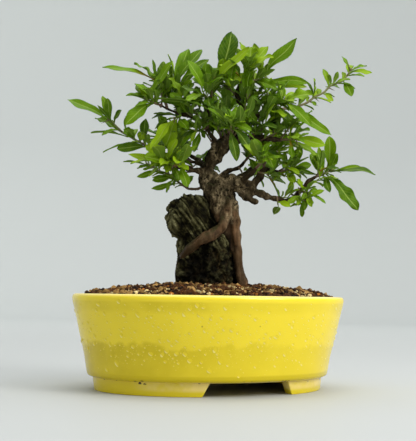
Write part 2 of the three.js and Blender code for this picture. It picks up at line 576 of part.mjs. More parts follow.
// The rows of a blade: the points of its upper and lower face, left to right, at each step to its tip.
function bladeRows(leaf, start) {
  const steps = leaf.width > BROAD ? BROAD_ROWS : leaf.width > SLIM ? MIDDLE_ROWS : SLIM_ROWS;
  const first = start > 0 ? [start] : [];
  const rows = first.concat(steps.filter((s) => s > start + ROW_ROOM)).map((s) => {
    const { spot, normal, across } = leafSpot(leaf, s);
    const half = halfWidth(leaf, s);
    const edge = (side) => spot.clone()
      .addScaledVector(across, side * half * Math.cos(BLADE_FOLD))
      .addScaledVector(normal, half * Math.sin(BLADE_FOLD));
    return { upper: [edge(-1), spot, edge(1)], normal };
  });
  const end = leafSpot(leaf, 1);
  rows.push({ upper: [end.spot], normal: end.normal });
  return rows.map(({ upper, normal }) => (
    { upper, lower: upper.map((p) => p.clone().addScaledVector(normal, -BLADE_THICKNESS)) }));
}

// Adds rows to a list of points and returns each row's numbers in that list.
function numbered(rows, points) {
  return rows.map(({ upper, lower }) => {
    const first = points.length;
    points.push(...upper, ...lower);
    return {
      upper: upper.map((_, i) => first + i),
      lower: lower.map((_, i) => first + upper.length + i),
    };
  });
}

// The two faces and the side rims of a blade through numbered rows.
function bladeFaces(rows, faces) {
  for (let r = 0; r + 1 < rows.length; r++) {
    const here = rows[r];
    const next = rows[r + 1];
    stripFaces(here.upper, next.upper, faces, false);
    stripFaces(here.lower, next.lower, faces, true);
    const [a, b, c, d] = [here.upper.at(-1), here.lower.at(-1), next.upper.at(-1), next.lower.at(-1)];
    faces.push(a, b, c, b, d, c);
    const [e, f, g, h] = [here.upper[0], here.lower[0], next.upper[0], next.lower[0]];
    faces.push(e, g, f, f, g, h);
  }
}

// Triangles between two rows of points; the lower face has them alike, turned round.
function stripFaces(a, b, faces, turned) {
  let i = 0;
  let j = 0;
  while (i < a.length - 1 || j < b.length - 1) {
    const alongA = (i + 1) / Math.max(1, a.length - 1);
    const alongB = (j + 1) / Math.max(1, b.length - 1);
    const stepA = j === b.length - 1 || (i < a.length - 1 && alongA <= alongB);
    const third = stepA ? a[i + 1] : b[j + 1];
    if (turned) faces.push(a[i], b[j], third);
    else faces.push(a[i], third, b[j]);
    if (stepA) i++;
    else j++;
  }
}

// The rim across a blade's first row, which closes it there.
function rootFaces({ upper, lower }, faces) {
  for (let i = 0; i + 1 < upper.length; i++) {
    faces.push(upper[i], lower[i], upper[i + 1], lower[i], lower[i + 1], upper[i + 1]);
  }
}

// A blade by itself, either from a share of its length or from the four corners of its seat.
function bladeBody(leaf, start, corners) {
  const rows = bladeRows(leaf, start);
  if (corners) rows.unshift({ upper: corners.slice(0, 2), lower: [corners[3], corners[2]] });
  const points = [];
  const faces = [];
  const list = numbered(rows, points);
  bladeFaces(list, faces);
  rootFaces(list[0], faces);
  return manifoldOf(points, faces);
}

// The corners of a seat in the order that lets the blade leave it with the least twist.
function cornersFor(leaf, corners) {
  const across = leaf.chord.clone().cross(leaf.normal);
  const turned = [0, 1, 2, 3].map((m) => [0, 1, 2, 3].map((i) => corners[(m + i) % 4]));
  const fit = ([a, b, c, d]) => {
    const run = b.p.clone().sub(a.p).add(c.p).sub(d.p);
    return run.dot(across) / run.length();
  };
  return turned.reduce((best, t) => (fit(t) > fit(best) ? t : best));
}

const UP = new THREE.Vector3(0, 0, 1);
const STATED_FACE = direction(0, -0.8, 0.6);

// A stated leaf's pose number k: pose 0 is as stated, and the others move its tip nearer or further.
function statedLeaf(stem, [share, [right, behind, height], width, turn], seed, k) {
  const base = alongStem(stem, share);
  const shift = POSE_SHIFT * Math.ceil(k / 2) * (k % 2 ? 1 : -1);
  const tip = place(right, behind + shift, height);
  const chord = tip.clone().sub(base).normalize();
  const face = STATED_FACE.clone().addScaledVector(chord, -STATED_FACE.dot(chord)).normalize();
  face.applyAxisAngle(chord, THREE.MathUtils.degToRad(turn * (draw(5, seed) < 0.5 ? 1 : -1)));
  return leafOf(base, tip, face, width);
}

function moreShare(i, count) {
  return MORE_FIRST + ((1 - MORE_FIRST) * (i + 1)) / count;
}

// A small leaf's pose number k: it stands off the stem at its own turn, and later poses turn it further.
function smallLeaf(stem, count, usual, shoot, i, k) {
  const base = alongStem(stem, moreShare(i, count));
  const ahead = alongStem(stem, 1).sub(alongStem(stem, 0.5)).normalize();
  const side = new THREE.Vector3(ahead.y, -ahead.x, 0).normalize();
  side.applyAxisAngle(ahead, GOLDEN_TURN * i + 2 * Math.PI * draw(6, shoot) + POSE_TURN * k);
  const length = usual * (1 + MORE_LENGTH_RANGE * (2 * draw(7, shoot, i) - 1)) * (1 - POSE_SHORTER * k);
  const way = side.multiplyScalar(MORE_SPREAD)
    .addScaledVector(ahead, MORE_AHEAD + MORE_AHEAD_RANGE * draw(8, shoot, i))
    .addScaledVector(UP, MORE_LIFT * draw(9, shoot, i))
    .normalize();
  const tip = base.clone().addScaledVector(way, length);
  const face = direction(draw(10, shoot, i) - 0.5, -0.45, 0.85);
  const width = length * (MORE_SLENDERNESS + MORE_SLENDERNESS_RANGE * draw(11, shoot, i));
  return leafOf(base, tip, face, width);
}

function near(a, b, room) {
  const p = a.box;
  const q = b.box;
  return [0, 1, 2].every((k) => p.min[k] - room < q.max[k] && q.min[k] - room < p.max[k]);
}

function withBox(solid) {
  return { solid, box: solid.boundingBox() };
}

function clearOf(piece, others) {
  const room = (other) => piece.solid.minGap(other.solid, 2 * CLEARANCE);
  return others.every((other) => !near(piece, other, CLEARANCE) || room(other) >= CLEARANCE);
}

function apart(a, b) {
  return !near(a, b, 0) || a.solid.intersect(b.solid).volume() < CROSSING;
}

// A shoot's stem as rings of numbered points, with a seat on each facet where leaves can grow.
function stemOf(points, shares) {
  const length = points.slice(1).reduce((sum, p, i) => sum + p.distanceTo(points[i]), 0);
  const half = SEAT_LENGTH / 2;
  const seats = [];
  for (const share of [...shares].sort((a, b) => a - b)) {
    const at = Math.max(FIRST_SEAT, Math.min(share * length, length - half));
    if (!seats.length || at - seats.at(-1) > SEAT_LENGTH + SEAT_ROOM) seats.push(at);
  }
  let corner = 0;
  const bends = points.slice(1, -1).map((p, i) => {
    corner += p.distanceTo(points[i]);
    return corner;
  }).filter((at) => seats.every((seat) => Math.abs(seat - at) > half + SEAT_ROOM));
  const seatEnds = seats.flatMap((at) => [at - half, at + half]);
  const stops = [0, ...bends, ...seatEnds, length]
    .sort((a, b) => a - b)
    .filter((at, i, all) => i === 0 || at - all[i - 1] > SAME_PLACE);
  const path = stops.map((at) => alongStem(points, at / length));
  const radii = stops.map((at) => THREE.MathUtils.lerp(STEM_RADIUS, STEM_TIP_RADIUS, at / length));
  const rings = limbRings(path, radii, STEM_SIDES);
  const facets = [];
  for (let r = 0; r + 1 < rings.length; r++) {
    const seat = seats.find((at) => Math.abs(stops[r] - at + half) < 2 * SAME_PLACE);
    for (let i = 0; i < STEM_SIDES; i++) {
      const next = (i + 1) % STEM_SIDES;
      const corners = [[r, i], [r, next], [r + 1, next], [r + 1, i]].map(
        ([ring, side]) => ({ p: rings[ring][side], number: ring * STEM_SIDES + side }));
      const [a, b, c, d] = corners.map(({ p }) => p);
      const middle = a.clone().add(b).add(c).add(d).divideScalar(4);
      const out = c.clone().sub(a).cross(d.clone().sub(b)).normalize();
      facets.push({ corners, middle, out, share: seat === undefined ? undefined : seat / length });
    }
  }
  return { rings, facets, length, solid: withBox(loft(rings)) };
}

// Grows a leaf on a shoot, in the first of its poses and on the best of its seats where it is clear of
// the wood, the stone and the other shoots, and of the leaves beside it from a little way out.
function growLeaf(shoot, shoots, hard, share, pose) {
  const others = shoots.filter((s) => s !== shoot);
  const open = shoot.facets.filter((f) => f.share !== undefined && !f.leaf);
  const clear = (blade, outer) => clearOf(outer, [...hard, shoot.solid])
    && clearOf(outer, shoot.grown.map((g) => g.outer))
    && apart(blade, shoot.solid)
    && shoot.grown.every((g) => apart(blade, g.blade))
    && others.every((s) => clearOf(blade, [s.solid, ...s.grown.map((g) => g.blade)]));
  for (let k = 0; k < TRIES; k++) {
    const aim = pose(k);
    const away = (f) => (Math.abs(f.share - share) * shoot.length) / SEAT_REACH;
    const fit = (f) => f.out.dot(aim.chord) - away(f);
    for (const facet of open.sort((a, b) => fit(b) - fit(a)).slice(0, SEATS_TRIED)) {
      const leaf = leafOf(facet.middle, aim.tip, aim.normal, aim.width);
      if (facet.out.dot(leaf.chord) < LEAST_OUTWARD) continue;
      const corners = cornersFor(leaf, facet.corners);
      const blade = withBox(bladeBody(leaf, 0, corners.map(({ p }) => p)));
      const outer = withBox(bladeBody(leaf, FREE_FROM));
      if (!clear(blade, outer)) continue;
      facet.leaf = { leaf, corners };
      shoot.grown.push({ blade, outer });
      return;
    }
  }
}

// The leafy shoots: first all the stated leaves, then the small ones in between.
function leafyShoots(wood, stone) {
  const shoots = Object.entries(SHOOTS).map(([name, { stem, leaves, more }], number) => {
    const points = stem.map(([right, behind, height]) => place(right, behind, height));
    const smallShares = Array.from({ length: more[0] }, (_, i) => moreShare(i, more[0]));
    const shares = leaves.map(([share]) => share).concat(smallShares);
    return { name, number, points, leaves, more, ...stemOf(points, shares), grown: [] };
  });
  const hard = [withBox(wood), withBox(stone)];
  for (const shoot of shoots) {
    shoot.leaves.forEach((stated, i) => {
      const pose = (k) => statedLeaf(shoot.points, stated, 50 * shoot.number + i, k);
      growLeaf(shoot, shoots, hard, stated[0], pose);
    });
  }
  for (const shoot of shoots) {
    const [count, usual] = shoot.more;
    for (let i = 0; i < count; i++) {
      const pose = (k) => smallLeaf(shoot.points, count, usual, shoot.number, i, k);
      growLeaf(shoot, shoots, hard, moreShare(i, count), pose);
    }
  }
  return shoots;
}

// A shoot as one closed skin: its stem's facets, with a leaf in place of each facet that bears one.
function shootBody({ rings, facets }) {
  const points = rings.flat();
  const faces = [];
  for (const { corners, leaf } of facets) {
    const [a, b, c, d] = (leaf ? leaf.corners : corners).map(({ number }) => number);
    if (leaf) {
      const rows = numbered(bladeRows(leaf.leaf, 0), points);
      bladeFaces([{ upper: [a, b], lower: [d, c] }, ...rows], faces);
    } else {
      faces.push(a, b, c, a, c, d);
    }
  }
  endFaces(rings, points, faces);
  return manifoldOf(points, faces);
}

function largest(solid) {
  const bodies = solid.decompose();
  return bodies.reduce((a, b) => (b.volume() > a.volume() ? b : a));
}

function meshOf(name, solid, look) {
  const { vertProperties, triVerts } = solid.getMesh();
  const geometry = new THREE.BufferGeometry();
  geometry.setAttribute("position", new THREE.Float32BufferAttribute(vertProperties, 3));
  geometry.setIndex(new THREE.Uint32BufferAttribute(triVerts, 1));
  const [color, roughness] = materials[look];
  const mesh = new THREE.Mesh(
    geometry, new THREE.MeshStandardMaterial({ color, roughness, metalness: 0, flatShading: true }));
  mesh.name = name;
  return mesh;
}

function bonsai() {
  const group = new THREE.Group();
  const stone = stoneBody();
  const stoneHole = stoneBody(CLEARANCE);
  const wood = largest(woodBody().subtract(stoneHole));
  const woodHole = woodBody(CLEARANCE);
  const half = SCREEN_SIZE / 2 + CLEARANCE;
  const screenTop = SCREEN_BOTTOM + SCREEN_THICKNESS + CLEARANCE;
  const screenHole = (x) => bar(half, half, half, FLOOR_TOP, screenTop, x);
  const soil = soilBody()
    .subtract(stoneHole)
    .subtract(woodHole)
    .subtract(screenHole(-DRAIN_SPACING / 2))
    .subtract(screenHole(DRAIN_SPACING / 2));
  group.add(meshOf("pot", pot(), "glaze"));
  group.add(meshOf("drain_screen_left", screen(-DRAIN_SPACING / 2), "screen"));
  group.add(meshOf("drain_screen_right", screen(DRAIN_SPACING / 2), "screen"));
  group.add(meshOf("soil", largest(soil), "soil"));
  group.add(meshOf("stone", stone, "stone"));
  group.add(meshOf("trunk", wood, "bark"));
  for (const shoot of leafyShoots(wood, stone)) {
    group.add(meshOf(shoot.name, largest(shootBody(shoot).subtract(woodHole)), "leaf"));
  }
  // The origin is the middle of the whole model's box, at its bottom
  const middle = new THREE.Box3().setFromObject(group).getCenter(new THREE.Vector3());
  for (const mesh of group.children) mesh.position.set(-middle.x, -middle.y, 0);
  return group;
}

export default bonsai();
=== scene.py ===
"""The looks of a firethorn bonsai whose roots hold a stone, in an oval yellow pot wet with drops."""
import functools
import itertools
import math
import random

import bmesh
import bpy
import numpy as np
from bpy.props import FloatProperty, FloatVectorProperty, IntProperty, PointerProperty
from mathutils import Matrix, Vector, noise
from mathutils.bvhtree import BVHTree


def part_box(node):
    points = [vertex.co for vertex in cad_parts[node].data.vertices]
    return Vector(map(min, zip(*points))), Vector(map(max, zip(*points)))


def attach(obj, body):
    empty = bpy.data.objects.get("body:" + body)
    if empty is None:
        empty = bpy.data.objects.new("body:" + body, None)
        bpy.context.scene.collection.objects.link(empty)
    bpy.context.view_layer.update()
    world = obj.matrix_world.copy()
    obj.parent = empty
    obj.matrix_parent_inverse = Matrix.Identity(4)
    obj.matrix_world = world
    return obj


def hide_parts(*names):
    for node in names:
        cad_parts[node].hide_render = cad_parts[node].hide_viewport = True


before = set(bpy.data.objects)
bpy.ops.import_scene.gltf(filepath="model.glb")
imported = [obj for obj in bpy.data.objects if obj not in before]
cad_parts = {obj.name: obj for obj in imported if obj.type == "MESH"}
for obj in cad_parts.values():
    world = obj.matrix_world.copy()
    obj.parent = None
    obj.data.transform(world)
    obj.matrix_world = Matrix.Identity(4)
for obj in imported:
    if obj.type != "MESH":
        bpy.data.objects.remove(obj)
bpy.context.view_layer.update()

bl_info = {
    "name": "Firethorn bonsai",
    "version": (1, 0, 0),
    "blender": (4, 5, 0),
    "location": "3D View > Sidebar > Firethorn",
    "description": "Dresses a small firethorn tree, its stone, its soil and its glazed oval pot",
    "category": "Object",
}

MM = 0.001
UP = Vector((0, 0, 1))

# Where the tree is seen from: the pot's front left, with the eye level with the pot's rim
POT_LOW, POT_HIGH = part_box("pot")
POT_MIDDLE = Vector(((POT_LOW.x + POT_HIGH.x) / 2, (POT_LOW.y + POT_HIGH.y) / 2, 0))
SEEN_FROM = math.radians(-25.5)
EYE_DISTANCE = 800 * MM
EYE_HEIGHT = 73 * MM
RIGHT = Matrix.Rotation(SEEN_FROM, 3, "Z") @ Vector((1, 0, 0))
BEHIND = Matrix.Rotation(SEEN_FROM, 3, "Z") @ Vector((0, 1, 0))

# The pot's sections: how far out from the foot of its wall, and how high
LIP_REACH = 12.6 * MM
FOOT_HEIGHT = 10.2 * MM
POT_PROFILE = (
    (-3.6, 10.2), (-2.6, 10.5), (-1.2, 11.1), (-0.4, 12.0), (0.0, 13.4), (0.8, 18), (1.9, 25), (4.3, 35.4),
    (6.9, 45.4), (9.5, 56.5), (11.7, 65.0), (12.1, 66.6), (12.4, 67.8), (12.55, 68.8), (12.6, 69.6),
    (12.55, 70.5), (12.3, 71.4), (11.8, 72.2), (11.0, 72.7), (10.1, 73.0), (9.1, 72.9), (8.1, 72.6),
    (7.2, 72.0), (6.6, 71.0), (6.2, 69.6), (3.0, 52), (-2.0, 34), (-5.4, 21.5), (-7.6, 18.4), (-9.4, 17.5),
)
WALL_PART = slice(4, 16)
FOOT_OUTSET = -6 * MM
FOOT_FLARE = 1.6 * MM
FOOT_WIDTH = 9 * MM
FOOT_GAP_HALF = 36.8 * MM
FOOT_GAP_LEAN = 0.47
DRAIN_HALF_SPACING = 38 * MM
DRAIN_RADIUS = 9 * MM
DRAIN_DEPTHS = (5 * MM, 25 * MM)

# Blades as the solids have them
BLADE_THICKNESS = 0.64 * MM
BLADE_ARCH = 0.55
BLADE_FOLD = 0.26
BLADE_FULLEST = 1.3
BLADE_ROUNDNESS = 0.75
FULL_SHARE = {1: 0.994, 2: 0.9145, 3: 0.98}
STEM_TIP_RADIUS = 0.85 * MM
GOLDEN_TURN = math.radians(137.5)


class PotSettings(bpy.types.PropertyGroup):
    glaze: FloatVectorProperty(
        name="Glaze", description="Colour of the glaze", size=4, subtype="COLOR", min=0, max=1,
        default=(0.86, 0.67, 0.024, 1))
    glaze_deep: FloatVectorProperty(
        name="Deep glaze", description="Colour where it pools", size=4, subtype="COLOR", min=0, max=1,
        default=(0.61, 0.465, 0.0, 1))
    # The thin glaze colour also paints the highlight along the rim.
    glaze_cream: FloatVectorProperty(
        name="Thin glaze", description="Colour where it is thin", size=4, subtype="COLOR", min=0, max=1,
        default=(0.88, 0.72, 0.19, 1))
    pool_height: FloatProperty(
        name="Pool height", description="How far up the wall the deep glaze reaches", default=36 * MM,
        unit="LENGTH")
    sides: IntProperty(name="Sides", description="Faces round the wall", default=176, min=32)
    waviness: FloatProperty(
        name="Waviness", description="Height of the wall's soft unevenness", default=0.25 * MM, unit="LENGTH")
    glaze_foot: FloatVectorProperty(
        name="Foot glaze", description="Colour where the glaze ran thin on the feet", size=4, subtype="COLOR",
        min=0, max=1, default=(0.84, 0.65, 0.19, 1))
    drops: IntProperty(name="Drops", description="Water drops on the wall", default=1900, min=0)
    drop_width: FloatProperty(
        name="Drop width", description="Width of the largest drop", default=3.6 * MM, unit="LENGTH")
    drop_curve: FloatProperty(
        name="Drop curve", description="How much a drop's bend shades the glaze behind it", default=0.42,
        min=0, max=1, subtype="FACTOR")


class SoilSettings(bpy.types.PropertyGroup):
    chestnut: FloatVectorProperty(
        name="Chestnut", description="Colour of most of the grains", size=4, subtype="COLOR",
        default=(0.066, 0.024, 0.006, 1))
    humus: FloatVectorProperty(
        name="Humus", description="Colour of the darkest grains", size=4, subtype="COLOR",
        default=(0.017, 0.007, 0.0025, 1))
    tan: FloatVectorProperty(
        name="Tan", description="Colour of the bark chips", size=4, subtype="COLOR",
        default=(0.33, 0.19, 0.062, 1))
    ochre: FloatVectorProperty(
        name="Ochre", description="Colour of the baked clay", size=4, subtype="COLOR",
        default=(0.42, 0.15, 0.025, 1))
    pumice: FloatVectorProperty(
        name="Pumice", description="Colour of the palest grains", size=4, subtype="COLOR",
        default=(0.64, 0.49, 0.23, 1))
    spacing: FloatProperty(
        name="Spacing", description="Distance from grain to grain", default=3.3 * MM, unit="LENGTH")
    grain_width: FloatProperty(
        name="Grain width", description="Width of the largest grain", default=6.2 * MM, unit="LENGTH")


class StoneSettings(bpy.types.PropertyGroup):
    dark: FloatVectorProperty(
        name="Dark", description="Colour of the hollows", size=4, subtype="COLOR",
        default=(0.0035, 0.003, 0.0015, 1))
    olive: FloatVectorProperty(
        name="Olive", description="Colour of the flanks", size=4, subtype="COLOR",
        default=(0.030, 0.0265, 0.0085, 1))
    pale: FloatVectorProperty(
        name="Pale", description="Colour of the ridges", size=4, subtype="COLOR",
        default=(0.23, 0.215, 0.105, 1))
    ridge_height: FloatProperty(
        name="Ridge height", description="Height of the slanting ridges", default=3.0 * MM, unit="LENGTH")
    ridge_spacing: FloatProperty(
        name="Ridge spacing", description="Distance from ridge to ridge", default=3.7 * MM, unit="LENGTH")
    ridge_slant: FloatProperty(
        name="Ridge slant", description="How far the ridges lean from upright", default=math.radians(33),
        subtype="ANGLE")
    mesh_size: FloatProperty(
        name="Mesh size", description="Edge length of the fine mesh", default=0.62 * MM, unit="LENGTH")


class BarkSettings(bpy.types.PropertyGroup):
    bark: FloatVectorProperty(
        name="Bark", description="Main colour of the bark", size=4, subtype="COLOR",
        default=(0.030, 0.021, 0.009, 1))
    dark: FloatVectorProperty(
        name="Dark bark", description="Colour of its cracks and pits", size=4, subtype="COLOR",
        default=(0.005, 0.0035, 0.0015, 1))
    pale: FloatVectorProperty(
        name="Pale bark", description="Colour of its worn patches", size=4, subtype="COLOR",
        default=(0.50, 0.375, 0.215, 1))
    root: FloatVectorProperty(
        name="Root", description="Colour of the roots above the soil", size=4, subtype="COLOR",
        default=(0.070, 0.034, 0.013, 1))
    moss: FloatVectorProperty(
        name="Moss", description="Tint where the bark is damp", size=4, subtype="COLOR",
        default=(0.040, 0.042, 0.014, 1))
    relief: FloatProperty(
        name="Relief", description="Depth of the bark's cracks", default=1.15 * MM, unit="LENGTH")
    mesh_size: FloatProperty(
        name="Mesh size", description="Edge length of the fine mesh", default=0.77 * MM, unit="LENGTH")


class LeafSettings(bpy.types.PropertyGroup):
    young: FloatVectorProperty(
        name="Young leaf", description="Colour of the youngest leaves", size=4, subtype="COLOR",
        default=(0.30, 0.46, 0.006, 1))
    grown: FloatVectorProperty(
        name="Grown leaf", description="Colour of most leaves", size=4, subtype="COLOR",
        default=(0.108, 0.234, 0.0, 1))
    old: FloatVectorProperty(
        name="Old leaf", description="Colour of the oldest leaves", size=4, subtype="COLOR",
        default=(0.020, 0.075, 0.0, 1))
    underside: FloatVectorProperty(
        name="Underside", description="Colour of the leaves from below", size=4, subtype="COLOR",
        default=(0.17, 0.28, 0.040, 1))
    midrib: FloatVectorProperty(
        name="Midrib", description="Colour of the middle rib", size=4, subtype="COLOR",
        default=(0.42, 0.54, 0.10, 1))
    stem: FloatVectorProperty(
        name="Stem", description="Colour of the green stems", size=4, subtype="COLOR",
        default=(0.17, 0.20, 0.045, 1))
    thickness: FloatProperty(
        name="Thickness", description="Thickness at the middle rib", default=0.42 * MM, unit="LENGTH")
    sprigs: IntProperty(name="Sprigs", description="Small sprigs that fill the crown", default=120, min=0)


class StageSettings(bpy.types.PropertyGroup):
    floor: FloatVectorProperty(
        name="Backdrop", description="Colour of the backdrop", size=4, subtype="COLOR", min=0, max=1,
        default=(0.65, 0.665, 0.665, 1))
    floor_shade: FloatProperty(
        name="Floor shade", description="How much of that colour the floor keeps", default=0.7, min=0, max=1,
        subtype="FACTOR")
    radius: FloatProperty(
        name="Radius", description="How far the backdrop stands off", default=2.6, unit="LENGTH")
    room_strength: FloatProperty(
        name="Room light", description="Strength of the light all round", default=0.98)
    key_power: FloatProperty(
        name="Key light", description="Power of the main light", default=17, unit="POWER")
    top_power: FloatProperty(
        name="Top light", description="Power of the light overhead", default=10, unit="POWER")
    lens: FloatProperty(name="Lens", description="Focal length in millimetres", default=81.93)
    pitch: FloatProperty(
        name="Pitch", description="How far the camera looks up", default=0.0743, subtype="ANGLE")
    turn: FloatProperty(
        name="Turn", description="How far it looks left of the pot's middle", default=0.0034, subtype="ANGLE")
    lean: FloatProperty(
        name="Lean", description="How far the camera leans to its left", default=0.015, subtype="ANGLE")


def settings(name):
    return getattr(bpy.context.scene, "firethorn_" + name)


def jitter(rng, most):
    """A random offset of up to most along each axis."""
    return Vector([rng.uniform(-most, most) for _ in range(3)])


def any_turn(rng):
    """A random turn in radians."""
    return rng.uniform(0, 6.28)


def shoot_names():
    return sorted(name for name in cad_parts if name.startswith("shoot_"))


def shade_smooth(mesh):
    mesh.polygons.foreach_set("use_smooth", [True] * len(mesh.polygons))


def linked_object(name, mesh):
    made = bpy.data.objects.new(name, mesh)
    bpy.context.scene.collection.objects.link(made)
    return made


def dress(piece, slot, *nodes):
    """Sets a finished piece on the frame and hides the solids of the nodes it stands for. The slot is not
    used.
    """
    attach(piece, "root")
    if nodes:
        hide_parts(*nodes)


class Batch:
    """Collects closed bodies and the numbers that their materials read at each point."""

    def __init__(self, *numbers):
        self.points = []
        self.faces = []
        self.looks = []
        self.numbers = {name: [] for name in numbers}
        self.count = 0

    def add(self, points, faces, look=0, **numbers):
        """look is a material's place, one for the body or one for each face."""
        points = np.asarray(points, float)
        self.points.append(points)
        self.faces.extend([tuple(i + self.count for i in face) for face in faces])
        self.looks.extend([look] * len(faces) if isinstance(look, int) else look)
        for name, stored in self.numbers.items():
            stored.append(np.broadcast_to(np.asarray(numbers[name], float), len(points)))
        self.count += len(points)

    def made(self, name, materials, sharp=math.radians(50)):
        mesh = bpy.data.meshes.new(name)
        mesh.from_pydata(np.concatenate(self.points).tolist(), [], self.faces)
        for material in materials:
            mesh.materials.append(material)
        mesh.polygons.foreach_set("material_index", self.looks)
        shade_smooth(mesh)
        store(mesh, **{label: np.concatenate(stored) for label, stored in self.numbers.items()})
        mesh.validate()
        mesh.set_sharp_from_angle(angle=sharp)
        return linked_object(name, mesh)


def between_rings(rings, count):
    """Quads between numbered rings of equal count, and a fan-free cap on both ends."""
    faces = []
    for r in range(rings - 1):
        for i in range(count):
            j = (i + 1) % count
            faces.append((r * count + i, r * count + j, (r + 1) * count + j, (r + 1) * count + i))
    faces.append(tuple(reversed(range(count))))
    faces.append(tuple(range((rings - 1) * count, rings * count)))
    return faces


def round_turns(sides):
    """The points of a unit circle."""
    turns = [2 * math.pi * i / sides for i in range(sides)]
    return [(math.cos(turn), math.sin(turn)) for turn in turns]


def tube(path, radii, sides):
    """Points and faces of a closed rod along a path."""
    path = [Vector(p) for p in path]
    last = len(path) - 1
    across = None
    points = []
    for k, spot in enumerate(path):
        along = (path[min(k + 1, last)] - path[max(k - 1, 0)]).normalized()
        if across is None:
            across = along.orthogonal()
        across = (across - along * across.dot(along)).normalized()
        other = along.cross(across)
        points += [spot + (across * x + other * y) * radii[k] for x, y in round_turns(sides)]
    return points, between_rings(len(path), sides)


def smooth_path(points, step):
    """The points of a Catmull-Rom curve through the given ones, about one step apart."""
    points = [Vector(p) for p in points]
    ends = [points[0] * 2 - points[1], *points, points[-1] * 2 - points[-2]]
    path = []
    for a, b, c, d in zip(ends, ends[1:], ends[2:], ends[3:]):
        pieces = max(1, round((c - b).length / step))
        for k in range(pieces):
            t = k / pieces
            path.append(0.5 * (2 * b + (c - a) * t + (2 * a - 5 * b + 4 * c - d) * t * t
                               + (3 * b - a - 3 * c + d) * t ** 3))
    return path + [points[-1]]


def smoothstep(low, high, value):
    share = np.clip((value - low) / (high - low), 0, 1)
    return share * share * (3 - 2 * share)


# Shader nodes

def node(tree, kind, inputs=None, **choices):
    """A shader node with its choices and its inputs, each a value or a socket to link."""
    made = tree.nodes.new("ShaderNode" + kind)
    for name, value in choices.items():
        setattr(made, name, value)
    for name, value in (inputs or {}).items():
        if isinstance(value, bpy.types.NodeSocket):
            tree.links.new(value, made.inputs[name])
        else:
            made.inputs[name].default_value = value
    return made


def math_of(tree, operation, a, b=0.0):
    return node(tree, "Math", {0: a, 1: b}, operation=operation).outputs[0]


def times(tree, a, b):
    return math_of(tree, "MULTIPLY", a, b)


def blended(tree, factor, a, b, way="MIX"):
    """A colour between a and b."""
    return node(tree, "Mix", {0: factor, 6: a, 7: b}, data_type="RGBA", blend_type=way).outputs[2]


def ranged(tree, value, low, high, to_low=0.0, to_high=1.0):
    """A soft step between two numbers, as the value goes from low to high."""
    inputs = {"Value": value, "From Min": low, "From Max": high, "To Min": to_low, "To Max": to_high}
    return node(tree, "MapRange", inputs, interpolation_type="SMOOTHSTEP").outputs[0]


def band(tree, value, bottom, full_from, full_to, top):
    """A mask that is 1 between two values and fades out below and above them."""
    return times(tree, ranged(tree, value, bottom, full_from), ranged(tree, value, top, full_to))


def rightward(tree, where):
    """How far to the right a point lies, as the tree is seen."""
    return node(tree, "VectorMath", {0: where, 1: RIGHT}, operation="DOT_PRODUCT").outputs["Value"]


def opaque(colour, share):
    """A colour made darker or lighter."""
    return tuple(min(1, c * share) for c in colour[:3]) + (1,)


def read(tree, name):
    """A number that the mesh holds at each point."""
    return node(tree, "Attribute", attribute_name=name).outputs["Fac"]


def effect(name, inputs, outputs, build):
    """A shader node group, built the first time that it is asked for."""
    if name in bpy.data.node_groups:
        return bpy.data.node_groups[name]
    tree = bpy.data.node_groups.new(name, "ShaderNodeTree")
    for label, default in inputs.items():
        kind = "NodeSocketVector" if isinstance(default, tuple) else "NodeSocketFloat"
        tree.interface.new_socket(label, in_out="INPUT", socket_type=kind).default_value = default
    for label in outputs:
        tree.interface.new_socket(label, in_out="OUTPUT", socket_type="NodeSocketFloat")
    taken = tree.nodes.new("NodeGroupInput").outputs
    given = tree.nodes.new("NodeGroupOutput").inputs
    for label, socket in build(tree, taken).items():
        tree.links.new(socket, given[label])
    return tree


def placed(tree, group, **inputs):
    """A node group in a material, with its inputs by name, spaces written as underscores."""
    made = node(tree, "Group", node_tree=group)
    for name, value in inputs.items():
        socket = made.inputs[name.replace("_", " ")]
        if isinstance(value, bpy.types.NodeSocket):
            tree.links.new(value, socket)
        else:
            socket.default_value = value
    return made.outputs


def mottle():
    """Soft patches: a mask from 0 to 1 of fractal noise. Sizes are counts per metre."""
    def build(tree, taken):
        spots = node(tree, "TexNoise", {
            "Vector": taken["Vector"], "Scale": taken["Scale"], "Detail": taken["Detail"], "Roughness": 0.6})
        mask = node(tree, "MapRange", {
            "Value": spots.outputs["Fac"], "From Min": taken["From"], "From Max": taken["To"]})
        return {"Mask": mask.outputs[0]}
    inputs = {"Vector": (0.0, 0.0, 0.0), "Scale": 100.0, "Detail": 3.0, "From": 0.4, "To": 0.6}
    return effect("Mottle", inputs, ["Mask"], build)


def patchy(tree, where, scale, low, high, detail=3.0):
    """One layer of mottle in a material."""
    return placed(tree, mottle(), Vector=where, Scale=scale, Detail=detail, From=low, To=high)["Mask"]


def specks():
    """Small scattered dots: a mask that is 1 inside them."""
    def build(tree, taken):
        cells = node(tree, "TexVoronoi", {"Vector": taken["Vector"], "Scale": taken["Scale"]})
        own = node(tree, "SeparateColor", {"Color": cells.outputs["Color"]}).outputs[0]
        size = times(tree, own, taken["Size"])
        inside = math_of(tree, "LESS_THAN", cells.outputs["Distance"], size)
        chosen = math_of(tree, "GREATER_THAN", own, math_of(tree, "SUBTRACT", 1.0, taken["Share"]))
        return {"Mask": times(tree, inside, chosen)}
    inputs = {"Vector": (0.0, 0.0, 0.0), "Scale": 100.0, "Size": 0.3, "Share": 0.3}
    return effect("Specks", inputs, ["Mask"], build)


